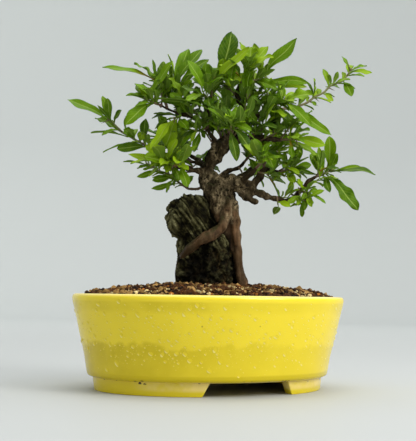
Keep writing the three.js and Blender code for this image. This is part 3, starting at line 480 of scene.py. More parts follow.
def leaf_veins():
    """A leaf's middle rib and side veins, read from how far along and across the blade a point is."""
    def build(tree, taken):
        across = math_of(tree, "ABSOLUTE", read(tree, "across"))
        along = read(tree, "along")
        rib = ranged(tree, across, 0.11, 0.03)
        side = math_of(tree, "SUBTRACT", times(tree, along, taken["Count"]), times(tree, across, 2.4))
        wave = math_of(tree, "ABSOLUTE", math_of(tree, "SUBTRACT", math_of(tree, "FRACT", side), 0.5))
        veins = ranged(tree, wave, 0.16, 0.02)
        return {"Rib": rib, "Veins": veins}
    return effect("Leaf Veins", {"Count": 11.0}, ["Rib", "Veins"], build)


def new_material(name):
    """A material with an empty Principled shader, and where its points are on the object."""
    material = bpy.data.materials.new(name)
    material.use_nodes = True
    tree = material.node_tree
    shader = tree.nodes["Principled BSDF"]
    where = node(tree, "TexCoord").outputs["Object"]
    return material, tree, shader, where


def stretched(tree, where, upwards):
    """Coordinates that change more slowly upwards, for marks that run along the wood."""
    return node(tree, "Mapping", {"Vector": where, "Scale": (1.0, 1.0, upwards)}).outputs[0]


def bump(tree, height, strength, distance, before=None):
    inputs = {"Height": height, "Strength": strength, "Distance": distance}
    if before:
        inputs["Normal"] = before
    return node(tree, "Bump", inputs).outputs[0]


def set_inputs(tree, shader, **inputs):
    for name, value in inputs.items():
        socket = shader.inputs[name.replace("_", " ")]
        if isinstance(value, bpy.types.NodeSocket):
            tree.links.new(value, socket)
        else:
            socket.default_value = value


# The pot

def half_sizes(outset):
    """Half the pot's length and width, outset from the foot of its wall."""
    return (POT_HIGH.x - POT_MIDDLE.x - LIP_REACH + outset, POT_HIGH.y - POT_MIDDLE.y - LIP_REACH + outset)


def oval(outset, height, sides):
    """A ring round the pot."""
    half_length, half_width = half_sizes(outset)
    return [POT_MIDDLE + Vector((half_length * x, half_width * y, height)) for x, y in round_turns(sides)]


def lofted(name, rings):
    mesh = bpy.data.meshes.new(name)
    mesh.from_pydata([p for ring in rings for p in ring], [], between_rings(len(rings), len(rings[0])))
    return linked_object(name, mesh)


def block(name, half_bottom, half_top, half_depth, bottom, top):
    """A bar through the pot from front to back, with leaning ends."""
    corners = ((1, 1), (-1, 1), (-1, -1), (1, -1))
    return lofted(name, [
        [POT_MIDDLE + Vector((x * half, y * half_depth, z)) for x, y in corners]
        for half, z in ((half_bottom, bottom), (half_top, top))])


def drum(name, middle, radius, bottom, top, sides=48):
    return lofted(name, [
        [POT_MIDDLE + Vector((middle + radius * x, radius * y, z)) for x, y in round_turns(sides)]
        for z in (bottom, top)])


def cut(piece, *tools):
    """Cuts tools out of a piece and deletes them."""
    for tool in tools:
        modifier = piece.modifiers.new("cut", "BOOLEAN")
        modifier.operation = "DIFFERENCE"
        modifier.solver = "EXACT"
        modifier.object = tool
        apply_modifiers(piece)
        bpy.data.objects.remove(tool)


def apply_modifiers(piece):
    graph = bpy.context.evaluated_depsgraph_get()
    graph.update()
    mesh = bpy.data.meshes.new_from_object(piece.evaluated_get(graph))
    piece.modifiers.clear()
    old = piece.data
    piece.data = mesh
    bpy.data.meshes.remove(old)


# Heights between which the glaze changes, each as fading in from, full from, full to, gone at
# The deep band below the lip is painted shadow under the rim.
LIP_SHADOW_BAND = (57 * MM, 64 * MM, 67 * MM, 69 * MM)
BOTTOM_BAND = (10.3 * MM, 11.2 * MM, 14 * MM, 17 * MM)
SEAM_BAND = (7.5 * MM, 9 * MM, 10.6 * MM, 12 * MM)
RIM_THIN_AND_HIGHLIGHT = (70.8 * MM, 72.4 * MM)
FOOT_EDGE = (11.2 * MM, 10.4 * MM)
# Painted shade: the deep glaze is stronger on the pot's left, as the tree is seen. On the feet the glaze is
# thin towards the right
SHADED_LEFT_TO_LIT_RIGHT = (-75 * MM, 55 * MM)
THIN_ON_FEET = (-68 * MM, -38 * MM)
POOL_WAVES = 11 * MM
POOL_FRAY = 4.5 * MM
KILN_SPECK = (0.045, 0.013, 0.004, 1)
PIN_HOLE = (0.20, 0.11, 0.01, 1)


def glaze_material():
    look = settings("pot")
    material, tree, shader, where = new_material("glaze")
    broad = patchy(tree, where, 24.0, 0.2, 0.8)
    pools = patchy(tree, where, 60.0, 0.35, 0.7)
    fine = patchy(tree, where, 420.0, 0.3, 0.7, 2.0)
    height = node(tree, "SeparateXYZ", {"Vector": where}).outputs["Z"]
    rightwards = rightward(tree, where)
    # Painted shade: more deep glaze on the pot's left, less on its right.
    thickness_and_shade = ranged(tree, rightwards, *SHADED_LEFT_TO_LIT_RIGHT, 1.0, 0.42)
    edge = math_of(tree, "ADD", height, times(tree, broad, POOL_WAVES))
    edge = math_of(tree, "ADD", edge, times(tree, pools, POOL_FRAY))
    pooled = ranged(tree, edge, look.pool_height + POOL_WAVES, look.pool_height + POOL_WAVES - 5 * MM)
    pooled = times(tree, pooled, ranged(tree, height, 14 * MM, 34 * MM, 0.8, 1.0))
    # Painted shadow: a band of deep glaze below the lip, where the rim overhangs.
    lip_shadow = band(tree, height, *LIP_SHADOW_BAND)
    lip_shadow = times(tree, lip_shadow, ranged(tree, broad, 0.25, 0.75, 0.35, 1.0))
    bottom = band(tree, height, *BOTTOM_BAND)
    golden = patchy(tree, where, 17.0, 0.45, 0.75, 2.0)
    deep = math_of(tree, "MAXIMUM", pooled, times(tree, lip_shadow, 0.85))
    deep = math_of(tree, "MAXIMUM", deep, times(tree, golden, 0.34))
    deep = times(tree, deep, thickness_and_shade)
    deep = times(tree, deep, ranged(tree, pools, 0, 1, 1.0, 0.70))
    deep = math_of(tree, "MAXIMUM", deep, times(tree, bottom, 0.9))
    colour = blended(tree, deep, look.glaze, look.glaze_deep)
    # The rim's top is paler: partly glaze thinning over the edge, partly a painted highlight along it.
    rim = ranged(tree, height, *RIM_THIN_AND_HIGHLIGHT)
    colour = blended(tree, times(tree, rim, 0.8), colour, look.glaze_cream)
    foot = ranged(tree, height, *FOOT_EDGE)
    thin = patchy(tree, where, 48.0, 0.36, 0.56)
    thin = times(tree, thin, ranged(tree, height, 2.5 * MM, 5.5 * MM))
    thin = times(tree, thin, ranged(tree, rightwards, *THIN_ON_FEET))
    foot_colour = blended(tree, thin, blended(tree, 0.45, look.glaze, look.glaze_deep),
                          look.glaze_foot)
    colour = blended(tree, foot, colour, foot_colour)
    dots = placed(tree, specks(), Vector=where, Scale=330.0, Size=0.42, Share=0.12)["Mask"]
    dots = times(tree, dots, band(tree, height, *SEAM_BAND))
    colour = blended(tree, dots, colour, KILN_SPECK)
    pin_holes = placed(tree, specks(), Vector=where, Scale=95.0, Size=0.07, Share=0.10)["Mask"]
    colour = blended(tree, times(tree, pin_holes, 0.5), colour, PIN_HOLE)
    skin = bump(tree, pools, 0.10, 0.5 * MM)
    skin = bump(tree, fine, 0.05, 0.2 * MM, skin)
    rough = ranged(tree, fine, 0.0, 1.0, 0.16, 0.26)
    set_inputs(tree, shader, Base_Color=colour, Roughness=rough, Normal=skin, IOR=1.4)
    shader.inputs["Coat Weight"].default_value = 0.07
    shader.inputs["Coat Roughness"].default_value = 0.06
    return material


class FIRETHORN_OT_pot(bpy.types.Operator):
    """Make the glazed oval pot with its two feet and drain holes"""
    bl_idname = "firethorn.pot"
    bl_label = "Pot"

    def execute(self, context):
        look = settings("pot")
        body = lofted("pot_glazed", [oval(out * MM, z * MM, look.sides) for out, z in POT_PROFILE])
        top = FOOT_HEIGHT + 2 * MM
        foot = lofted("foot_ring", [
            oval(FOOT_OUTSET, 0, look.sides), oval(FOOT_OUTSET + FOOT_FLARE, top, look.sides)])
        inner = FOOT_OUTSET - FOOT_WIDTH
        wide = POT_HIGH.y * 2
        half_bottom = FOOT_GAP_HALF + FOOT_GAP_LEAN * MM
        half_top = FOOT_GAP_HALF - FOOT_GAP_LEAN * (top + MM)
        cut(foot,
            lofted("foot_hollow", [oval(inner, -MM, look.sides), oval(inner, top + MM, look.sides)]),
            block("foot_gap", half_bottom, half_top, wide, -MM, top + MM))
        bevel = foot.modifiers.new("edges", "BEVEL")
        bevel.width = 0.9 * MM
        bevel.segments = 3
        bevel.limit_method = "ANGLE"
        bevel.angle_limit = math.radians(40)
        apply_modifiers(foot)
        cut(body, *[
            drum("drain", side * DRAIN_HALF_SPACING, DRAIN_RADIUS, *DRAIN_DEPTHS) for side in (-1, 1)])
        self.soften(body, look.waviness)
        self.soften(foot, look.waviness)
        bm = bmesh.new()
        bm.from_mesh(body.data)
        bm.from_mesh(foot.data)
        bmesh.ops.recalc_face_normals(bm, faces=bm.faces)
        bm.to_mesh(body.data)
        bm.free()
        bpy.data.objects.remove(foot)
        body.data.materials.clear()
        body.data.materials.append(glaze_material())
        shade_smooth(body.data)
        body.data.set_sharp_from_angle(angle=math.radians(38))
        dress(body, "glaze", "pot")
        return {"FINISHED"}

    @staticmethod
    def soften(piece, waviness):
        """Gives a piece the slight unevenness of a pressed and glazed pot."""
        for vertex in piece.data.vertices:
            if vertex.co.z < 0.5 * MM:
                continue
            away = vertex.co - POT_MIDDLE
            away.z = 0
            wave = noise.noise(vertex.co * 28) + 0.5 * noise.noise(vertex.co * 70)
            vertex.co += away.normalized() * (waviness * (wave - 0.6))


def wall_at(turn, height):
    """The outside of the wall at a turn and height, and the way it faces."""
    outer = POT_PROFILE[WALL_PART]
    (out_a, z_a), (out_b, z_b) = next(
        (a, b) for a, b in zip(outer, outer[1:]) if b[1] * MM >= height or b == outer[-1])
    share = (height / MM - z_a) / (z_b - z_a)
    outset = (out_a + (out_b - out_a) * share) * MM
    half_length, half_width = half_sizes(outset)
    spot = POT_MIDDLE + Vector((half_length * math.cos(turn), half_width * math.sin(turn), height))
    level = Vector((half_width * math.cos(turn), half_length * math.sin(turn), 0)).normalized()
    lean = (out_b - out_a) / (z_b - z_a)
    return spot, (level - UP * lean).normalized()


GATHERED_LIGHT = (0.98, 0.87, 0.28, 1)


def water_material():
    """Clear drops show the glaze behind them, with painted shade on one side and painted light where the
    light gathers.
    """
    look = settings("pot")
    material, tree, shader, _ = new_material("water")
    lit = read(tree, "lit")
    wall = blended(tree, 0.2, look.glaze, look.glaze_deep)
    # Painted shade on one side of each drop, and a painted glow of gathered light on the other.
    shaded = times(tree, ranged(tree, lit, 0.05, 0.75), 0.5)
    colour = blended(tree, shaded, wall, look.glaze_deep)
    gathered = times(tree, ranged(tree, lit, -0.1, -0.5), ranged(tree, lit, -1.0, -0.8))
    colour = blended(tree, times(tree, gathered, 0.85), colour, GATHERED_LIGHT)
    wall_way = {axis: read(tree, "wall_" + axis.lower()) for axis in "XYZ"}
    ways = {
        0: look.drop_curve, 4: node(tree, "CombineXYZ", wall_way).outputs[0],
        5: node(tree, "NewGeometry").outputs["Normal"]}
    bent = node(tree, "Mix", ways, data_type="VECTOR").outputs[1]
    bent = node(tree, "VectorMath", {0: bent}, operation="NORMALIZE").outputs["Vector"]
    set_inputs(tree, shader, Base_Color=colour, Roughness=0.2, Normal=bent, IOR=1.33)
    shader.inputs["Coat Weight"].default_value = 0.4
    shader.inputs["Coat IOR"].default_value = 1.33
    shader.inputs["Coat Roughness"].default_value = 0.05
    return material


class FIRETHORN_OT_water_drops(bpy.types.Operator):
    """Scatter water drops over the pot's wall"""
    bl_idname = "firethorn.water_drops"
    bl_label = "Water drops"

    # The lowest drop's height, how far up from it they reach, and where each is cast at the wall from
    LOWEST = 15 * MM
    SPAN = 53 * MM
    OFF_WALL = 4 * MM
    # A drop narrower than the first number has this many faces round and rings up
    FACES = ((0.9 * MM, 6, 2), (1.8 * MM, 8, 3), (math.inf, 12, 4))

    def execute(self, context):
        look = settings("pot")
        rng = random.Random(11)
        batch = Batch("lit", "wall_x", "wall_y", "wall_z")
        kept = []
        wall = BVHTree.FromObject(bpy.data.objects["pot_glazed"], context.evaluated_depsgraph_get())
        for _ in range(look.drops * 6):
            if len(kept) == look.drops:
                break
            turn = rng.uniform(0, 2 * math.pi)
            height = self.LOWEST + self.SPAN * rng.betavariate(2.2, 1.7)
            width = look.drop_width * (0.17 + 0.83 * rng.random() ** 3.9)
            guess, out = wall_at(turn, height)
            if rng.random() > abs(out.dot(BEHIND)) ** 2 + 0.10:
                continue
            if any((guess - other).length < 0.62 * (width + size) for other, size in kept):
                continue
            kept.append((guess, width))
            spot, out, _, _ = wall.ray_cast(guess + out * self.OFF_WALL, -out)
            if spot:
                self.add_drop(batch, spot, out, width, rng)
        dress(batch.made("water_drops", [water_material()]), "glaze")
        return {"FINISHED"}

    def add_drop(self, batch, spot, out, width, rng):
        """A flattened dome, drawn out a little one way, that hangs fuller at the bottom."""
        right = UP.cross(out).normalized()
        down = right.cross(out)
        if down.z > 0:
            down = -down
        high = width * rng.uniform(0.15, 0.25)
        sag = rng.uniform(0.0, 0.35) * (width / (3 * MM))
        sides, rings = next((s, r) for below, s, r in self.FACES if width < below)
        drawn = right * rng.uniform(-1, 1) + down * rng.uniform(-1, 1)
        drawn = drawn.normalized() * rng.uniform(0, 0.6)
        uneven, lobes = rng.uniform(0.02, 0.16), any_turn(rng)
        points = []
        lit = []
        for r in range(rings + 1):
            lift = math.sin(math.pi / 2 * r / rings)
            reach = math.cos(math.pi / 2 * r / rings) * 0.995 + 0.005
            for i in range(sides):
                turn = 2 * math.pi * i / sides
                fuller = 1 + 0.25 * sag * (1 - math.cos(turn)) + uneven * math.sin(3 * turn + lobes)
                offset = right * math.sin(turn) * reach - down * math.cos(turn) * reach * fuller
                offset += drawn * offset.dot(drawn) * 1.6
                points.append(spot + offset * (width / 2) + down * (sag * 0.12 * width * lift)
                              + out * (high * lift - 0.06 * MM))
                # Which side of the drop takes its painted shade and which its painted gathered light.
                lit.append((0.8 * math.cos(turn) + 0.6 * math.sin(turn)) * reach)
        faces = between_rings(rings + 1, sides)
        batch.add(points, faces, lit=lit, wall_x=out.x, wall_y=out.y, wall_z=out.z)


class FIRETHORN_OT_drain_screens(bpy.types.Operator):
    """Weave the mesh screens over the drain holes"""
    bl_idname = "firethorn.drain_screens"
    bl_label = "Drain screens"

    PLASTIC = (0.012, 0.012, 0.014, 1)
    GRIME = (0.05, 0.035, 0.02, 1)
    WIRES = 11

    def execute(self, context):
        material, tree, shader, where = new_material("screen")
        grime_and_painted_shade = patchy(tree, where, 300.0, 0.4, 0.65)
        set_inputs(tree, shader, Base_Color=blended(tree, grime_and_painted_shade, self.PLASTIC, self.GRIME),
                   Roughness=ranged(tree, grime_and_painted_shade, 0, 1, 0.45, 0.8))
        for side in ("left", "right"):
            name = "drain_screen_" + side
            low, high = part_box(name)
            batch = Batch()
            radius = (high.z - low.z) / 4
            pitch = (high.x - low.x - 2 * radius) / (self.WIRES - 1)
            for k, lengthwise in itertools.product(range(self.WIRES), (True, False)):
                path = self.wire((low + high) / 2, k, lengthwise, pitch, radius)
                batch.add(*tube(path, [radius * 0.9] * len(path), 6))
            dress(batch.made("woven_screen_" + side, [material]), "screen", name)
        return {"FINISHED"}

    @classmethod
    def wire(cls, middle, k, lengthwise, pitch, radius):
        """The path of one wire, over and under the ones that cross it."""
        half = pitch * (cls.WIRES - 1) / 2
        place = pitch * k - half
        path = []
        for step in range(4 * cls.WIRES - 3):
            run = pitch * step / 4 - half
            wave = math.cos(math.pi * (run / pitch + (cls.WIRES - 1) / 2 + k)) * radius * 0.8
            spot = (run, place, wave) if lengthwise else (place, run, -wave)
            path.append(middle + Vector(spot))
        return path


# The soil

def grit_material(name, colour):
    material, tree, shader, where = new_material(name)
    tone = read(tree, "tone")
    patches = patchy(tree, where, 520.0, 0.35, 0.65, 4.0)
    own = blended(tree, tone, opaque(colour, 0.42), opaque(colour, 1.45))
    set_inputs(tree, shader,
               Base_Color=blended(tree, times(tree, patches, 0.55), own, colour),
               Roughness=ranged(tree, patches, 0, 1, 0.72, 0.95),
               Normal=bump(tree, patches, 0.5, 0.5 * MM))
    shader.inputs["Specular IOR Level"].default_value = 0.15
    return material


def round_body(subdivisions):
    bm = bmesh.new()
    bmesh.ops.create_icosphere(bm, subdivisions=subdivisions, radius=1)
    points = np.array([v.co[:] for v in bm.verts])
    faces = [tuple(v.index for v in f.verts) for f in bm.faces]
    bm.free()
    return points, faces


def turned(rng):
    """A random rotation as an array."""
    axis = Vector((rng.gauss(0, 1), rng.gauss(0, 1), rng.gauss(0, 1))).normalized()
    return np.array(Matrix.Rotation(rng.uniform(0, 2 * math.pi), 3, axis))


class FIRETHORN_OT_soil(bpy.types.Operator):
    """Cover the soil with loose grains of clay, pumice and bark"""
    bl_idname = "firethorn.soil"
    bl_label = "Soil"

    # Each kind of grain: its share, how flat it is, and its size beside the largest
    KINDS = (("chestnut", 0.41, 0.75, 1.0), ("humus", 0.18, 0.7, 0.9), ("tan", 0.24, 0.32, 1.15),
             ("ochre", 0.05, 0.8, 0.75), ("pumice", 0.12, 0.8, 0.85))
    # How far out of the bed the grains lie, in half widths, in the lower and the upper layer
    LIFTS = ((-0.15, 0.35), (0.3, 1.0))
    # The upper layer's width beside the lower one's, and the width below which a grain has few faces
    UPPER_WIDTH = 0.62
    COARSE_BELOW = 3.3 * MM
    # How far below the rim grains may lie, and how far they are sunk where they meet the wall
    BELOW_RIM = 6 * MM
    SUNK_AT_WALL = 1.1 * MM

    def execute(self, context):
        look = settings("soil")
        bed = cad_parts["soil"]
        bed.data.materials.clear()
        bed.data.materials.append(grit_material("soil_bed", opaque(look.chestnut, 0.7)))
        ground = BVHTree.FromObject(bed, context.evaluated_depsgraph_get())
        low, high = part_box("soil")
        batches = {kind: Batch("tone") for kind, _, _, _ in self.KINDS}
        rng = random.Random(5)
        coarse, fine = round_body(1), round_body(2)
        steps_x = int((high.x - low.x) / look.spacing)
        steps_y = int((high.y - low.y) / look.spacing)
        for layer, i, j in itertools.product(range(2), range(steps_x), range(steps_y)):
            x = low.x + (i + rng.uniform(0.05, 0.95)) * look.spacing
            y = low.y + (j + rng.uniform(0.05, 0.95)) * look.spacing
            kind, flat, share = self.kind_at(x, y, rng)
            width = look.grain_width * share * (0.42 + 0.58 * rng.random() ** 1.5)
            if layer:
                width *= self.UPPER_WIDTH
            tone = rng.random()
            spin = turned(rng)
            body, faces = coarse if width < self.COARSE_BELOW else fine
            lumps = np.array([1 + 0.34 * (rng.random() - 0.5) for _ in body])
            stretch = np.array([1, 0.72 + 0.28 * rng.random(), flat * (0.7 + 0.3 * rng.random())])
            lift = rng.uniform(*self.LIFTS[layer])
            if not self.inside(x, y, width, low, high):
                continue
            hit = ground.ray_cast(Vector((x, y, high.z + 20 * MM)), -UP)[0]
            if hit is None or hit.z < POT_HIGH.z - self.BELOW_RIM:
                continue
            shape = (body * lumps[:, None] * stretch * (width / 2)) @ spin.T
            sunk = self.SUNK_AT_WALL * self.near_wall(x, y, low, high)
            spot = np.array((x, y, hit.z + lift * width / 2 - sunk))
            batches[kind].add(shape + spot, faces, tone=tone)
        for kind, batch in batches.items():
            colour = getattr(look, kind)
            dress(batch.made("grains_" + kind, [grit_material(kind, colour)], math.radians(32)), "soil")
        return {"FINISHED"}

    @classmethod
    def kind_at(cls, x, y, rng):
        """Draws a kind of grain; the pale kinds lie together in patches."""
        patch = noise.noise(Vector((x, y, 0)) / (22 * MM))
        pale = 0.25 + float(smoothstep(-0.2, 0.3, patch)) * 2.2
        shares = [share * (pale if kind in ("tan", "pumice") else 1) for kind, share, _, _ in cls.KINDS]
        kind, _, flat, size = rng.choices(cls.KINDS, shares)[0]
        return kind, flat, size

    @staticmethod
    def near_wall(x, y, low, high):
        """From 0 over most of the soil up to 1 at the wall."""
        middle = (low + high) / 2
        reach = math.hypot((x - middle.x) / (high.x - low.x), (y - middle.y) / (high.y - low.y)) * 2
        return float(smoothstep(0.86, 1.0, reach))

    @staticmethod
    def inside(x, y, width, low, high):
        middle = (low + high) / 2
        reach_x = (high.x - low.x) / 2 - width * 0.5
        reach_y = (high.y - low.y) / 2 - width * 0.5
        return ((x - middle.x) / reach_x) ** 2 + ((y - middle.y) / reach_y) ** 2 < 1


# The stone and the wood, remeshed finely from their solids

# How much finer each octave of fractal noise is than the one before it
OCTAVE_STEP = 2.1
# How far marks are drawn out along the wood
ALONG_TRUNK = 0.55
ALONG_ROOTS = 0.18


def fine_copy(name, node_name, mesh_size):
    """A copy of a solid as an even fine mesh."""
    piece = linked_object(name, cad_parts[node_name].data.copy())
    piece.data.materials.clear()
    remesh = piece.modifiers.new("fine", "REMESH")
    remesh.mode = "VOXEL"
    remesh.voxel_size = mesh_size
    apply_modifiers(piece)
    return piece


def move_points(mesh, co):
    mesh.vertices.foreach_set("co", co.ravel())
    mesh.update()


def coordinates(mesh):
    co = np.empty(len(mesh.vertices) * 3)
    mesh.vertices.foreach_get("co", co)
    return co.reshape(-1, 3)


def vertex_normals(mesh):
    facing = np.empty(len(mesh.vertices) * 3)
    mesh.vertex_normals.foreach_get("vector", facing)
    return facing.reshape(-1, 3)


def smoothed(co, mesh, weight, rounds):
    """Relaxes points towards their neighbours by each one's weight, without shrinking the whole."""
    edges = np.empty(len(mesh.edges) * 2, int)
    mesh.edges.foreach_get("vertices", edges)
    a, b = edges.reshape(-1, 2).T
    degree = np.bincount(np.concatenate((a, b)), minlength=len(co))[:, None]
    for _ in range(rounds):
        for pull in (0.55, -0.57):
            total = np.zeros_like(co)
            np.add.at(total, a, co[b])
            np.add.at(total, b, co[a])
            co = co + (total / degree - co) * (pull * weight[:, None])
    return co


def half_thickness(piece, co, facing, most):
    """How far the middle of the wood lies below each point."""
    tree = BVHTree.FromObject(piece, bpy.context.evaluated_depsgraph_get())
    found = np.full(len(co), most)
    for i, (p, n) in enumerate(zip(co, facing)):
        hit = tree.ray_cast(Vector(p - n * 0.05 * MM), Vector(-n), 2 * most)[3]
        if hit is not None:
            found[i] = hit / 2
    return found


@functools.lru_cache(maxsize=None)
def solid_tree(name):
    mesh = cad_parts[name].data
    return BVHTree.FromPolygons([v.co for v in mesh.vertices], [f.vertices for f in mesh.polygons])


def openness(co, facing):
    """How much of its surroundings each point sees past the stone and the wood, from 0 to 1."""
    trees = solid_tree("stone"), solid_tree("trunk")
    rng = random.Random(3)
    ways = [Vector([rng.gauss(0, 1) for _ in range(3)]).normalized() for _ in range(41)]
    rays, reach = 7, 26 * MM
    found = np.empty(len(co))
    for i, (p, n) in enumerate(zip(co, facing)):
        n = Vector(n)
        start = Vector(p) + n * 1.2 * MM
        free = 0
        for k in range(rays):
            way = n * 1.05 + ways[(i * rays + k) % len(ways)]
            free += all(tree.ray_cast(start, way, reach)[0] is None for tree in trees)
        found[i] = free / rays
    return found


def relaxed(values, mesh, rounds):
    """The numbers at the points, evened out between neighbours."""
    return smoothed(np.repeat(values[:, None], 3, 1), mesh, np.ones(len(values)), rounds)[:, 0]


def sampled(co, size, function=noise.noise):
    """A noise function at every point, with features of about the given size."""
    return np.array([function(Vector(p)) for p in co * (1 / size)])


def fractal(co, size, falloff, octaves):
    """Fractal noise at every point."""
    return sampled(co, size, lambda p: noise.fractal(p, falloff, OCTAVE_STEP, octaves))


def store(mesh, **numbers):
    """Keeps numbers at the points for the materials to read."""
    for name, values in numbers.items():
        made = mesh.attributes.new(name, "FLOAT", "POINT")
        made.data.foreach_set("value", np.asarray(values, np.float32))


def seen_coordinates(co):
    """The points as right, behind and up from the pot's middle."""
    from_middle = co - np.array(POT_MIDDLE)
    return np.stack((from_middle @ np.array(RIGHT), from_middle @ np.array(BEHIND), from_middle[:, 2]), 1)


def seen_in_mm(spot):
    return seen_coordinates(np.array([spot]))[0] / MM


STONE_DAMP = (0.052, 0.034, 0.012, 1)
# Painted shade: the near-black colour laid into the stone's crevices and on its lower front left.
STONE_PAINTED_SHADE = (0.0022, 0.0016, 0.0008, 1)


def stone_material():
    look = settings("stone")
    material, tree, shader, where = new_material("weathered_stone")
    relief = read(tree, "relief")
    patches = patchy(tree, where, 130.0, 0.36, 0.62, 4.0)
    fine = patchy(tree, where, 900.0, 0.35, 0.65)
    flank = blended(tree, ranged(tree, relief, 0.05, 0.45), look.dark, look.olive)
    crest = times(tree, ranged(tree, relief, 0.24, 0.80), ranged(tree, patches, 0, 1, 0.2, 1))
    crest = times(tree, crest, ranged(tree, fine, 0, 1, 0.3, 1))
    low = read(tree, "low")
    flank = blended(tree, times(tree, low, 0.7), flank, look.dark)
    crest = times(tree, crest, ranged(tree, low, 0, 1, 1, 0.22))
    colour = blended(tree, crest, flank, look.pale)
    damp = patchy(tree, where, 210.0, 0.5, 0.7)
    damp = times(tree, damp, ranged(tree, low, 0, 1, 0.15, 0.6))
    colour = blended(tree, damp, colour, STONE_DAMP)
    # Painted shade where the point sees little of its surroundings past the stone and the wood, and on the
    # lower front left.
    grime_and_painted_shade = ranged(tree, read(tree, "open"), 0.75, 0.15)
    grime_and_painted_shade = math_of(tree, "MAXIMUM", grime_and_painted_shade, times(tree, read(tree, "shade"), 0.85))
    colour = blended(tree, times(tree, grime_and_painted_shade, 0.9), colour, STONE_PAINTED_SHADE)
    set_inputs(tree, shader, Base_Color=colour, Roughness=ranged(tree, patches, 0, 1, 0.62, 0.95),
               Normal=bump(tree, fine, 0.55, 0.4 * MM))
    shader.inputs["Specular IOR Level"].default_value = 0.05
    return material


class FIRETHORN_OT_stone(bpy.types.Operator):
    """Weather the stone with slanting ridges above and crumbling lumps below"""
    bl_idname = "firethorn.stone"
    bl_label = "Stone"

    # Heights over which the crumbling part ends, and over which the stone comes out of the soil
    LOW_PART = (100 * MM, 118 * MM)
    SOIL_LINE = (70 * MM, 76 * MM)

    def execute(self, context):
        look = settings("stone")
        piece = fine_copy("stone_weathered", "stone", look.mesh_size)
        mesh = piece.data
        co = smoothed(coordinates(mesh), mesh, np.ones(len(mesh.vertices)), 14)
        move_points(mesh, co)
        facing = vertex_normals(mesh)
        ridges, ridged = self.ridges(look, co, facing)
        lumps = fractal(co, 9 * MM, 0.7, 4)
        crumbs = sampled(co, 5 * MM, lambda p: 1 - 1.5 * noise.voronoi(p)[0][0])
        crumbs += 0.7 * fractal(co, 4 * MM, 0.7, 4)
        grit = sampled(co, 1.5 * MM)
        right, behind, up = seen_coordinates(co).T
        # The crumbling part reaches less far up on the left
        low_down = 1 - smoothstep(*self.LOW_PART, up + 22 * MM * smoothstep(-12 * MM, -24 * MM, right))
        crumbled = 0.72 * crumbs + 0.22 * grit + 0.10 * ridges
        relief = (ridged + 0.24 * crumbs) * (1 - low_down) + crumbled * low_down + 0.10 * grit
        buried = 1 - smoothstep(*self.SOIL_LINE, up)
        push = (look.ridge_height * (relief - 0.45) + 1.5 * MM * lumps) * (1 - 0.7 * buried)
        move_points(mesh, co + facing * push[:, None])
        # The lower front left of the crumbling part is marked for painted shade.
        front_left = smoothstep(4 * MM, -8 * MM, right) * smoothstep(6 * MM, -8 * MM, behind)
        store(mesh, relief=relief, low=low_down, shade=low_down * front_left,
              open=relaxed(openness(co, facing), mesh, 3))
        mesh.materials.append(stone_material())
        shade_smooth(mesh)
        dress(piece, "stone", "stone")
        return {"FINISHED"}

    @classmethod
    def ridges(cls, look, co, facing):
        """The slanting ridges, and the relief that they make with finer ones between them."""
        right, behind, up = seen_coordinates(co).T
        slant = look.ridge_slant
        across = right * math.cos(slant) + up * math.sin(slant) + 0.12 * behind
        along = up * math.cos(slant) - right * math.sin(slant)
        ridgewise = np.stack((across, along * 0.3, behind * 0.5), 1)
        warp = 0.50 * sampled(co, 26 * MM) + 0.42 * sampled(ridgewise, 4 * MM)
        # On the flanks, which turn away from the front, the ridges run on upright
        flank = smoothstep(0.50, 0.85, np.abs(facing @ np.array(RIGHT)))
        phase = across / look.ridge_spacing + warp
        flank_phase = (behind + 0.25 * up) / look.ridge_spacing + warp
        ridges = np.minimum(1, 1.35 * (cls.folds(phase) * (1 - flank) + cls.folds(flank_phase) * flank))
        finer = cls.folds(2.3 * phase + 0.3 * warp) * (1 - flank) + cls.folds(2.3 * flank_phase) * flank
        broken = smoothstep(-0.42, 0.25, sampled(ridgewise, 5 * MM))
        return ridges, 0.56 * ridges * broken + 0.20 * finer

    @staticmethod
    def folds(phase):
        """Straight-sided folds between 0 in the hollows and 1 on the crests."""
        return 1 - np.abs(2 * (phase % 1) - 1)


# Pale streaks along the roots: partly worn bark, partly painted highlight.
ROOT_WEAR_AND_HIGHLIGHT = (0.23, 0.125, 0.062, 1)
ROOT_SHADE = (0.014, 0.007, 0.0035, 1)
TWIG_BARK = (0.034, 0.023, 0.011, 1)
# Painted shade: the near-black colour laid into crevices between the wood and the stone, and into the gap
# between the roots.
BARK_PAINTED_SHADE = (0.004, 0.003, 0.0015, 1)


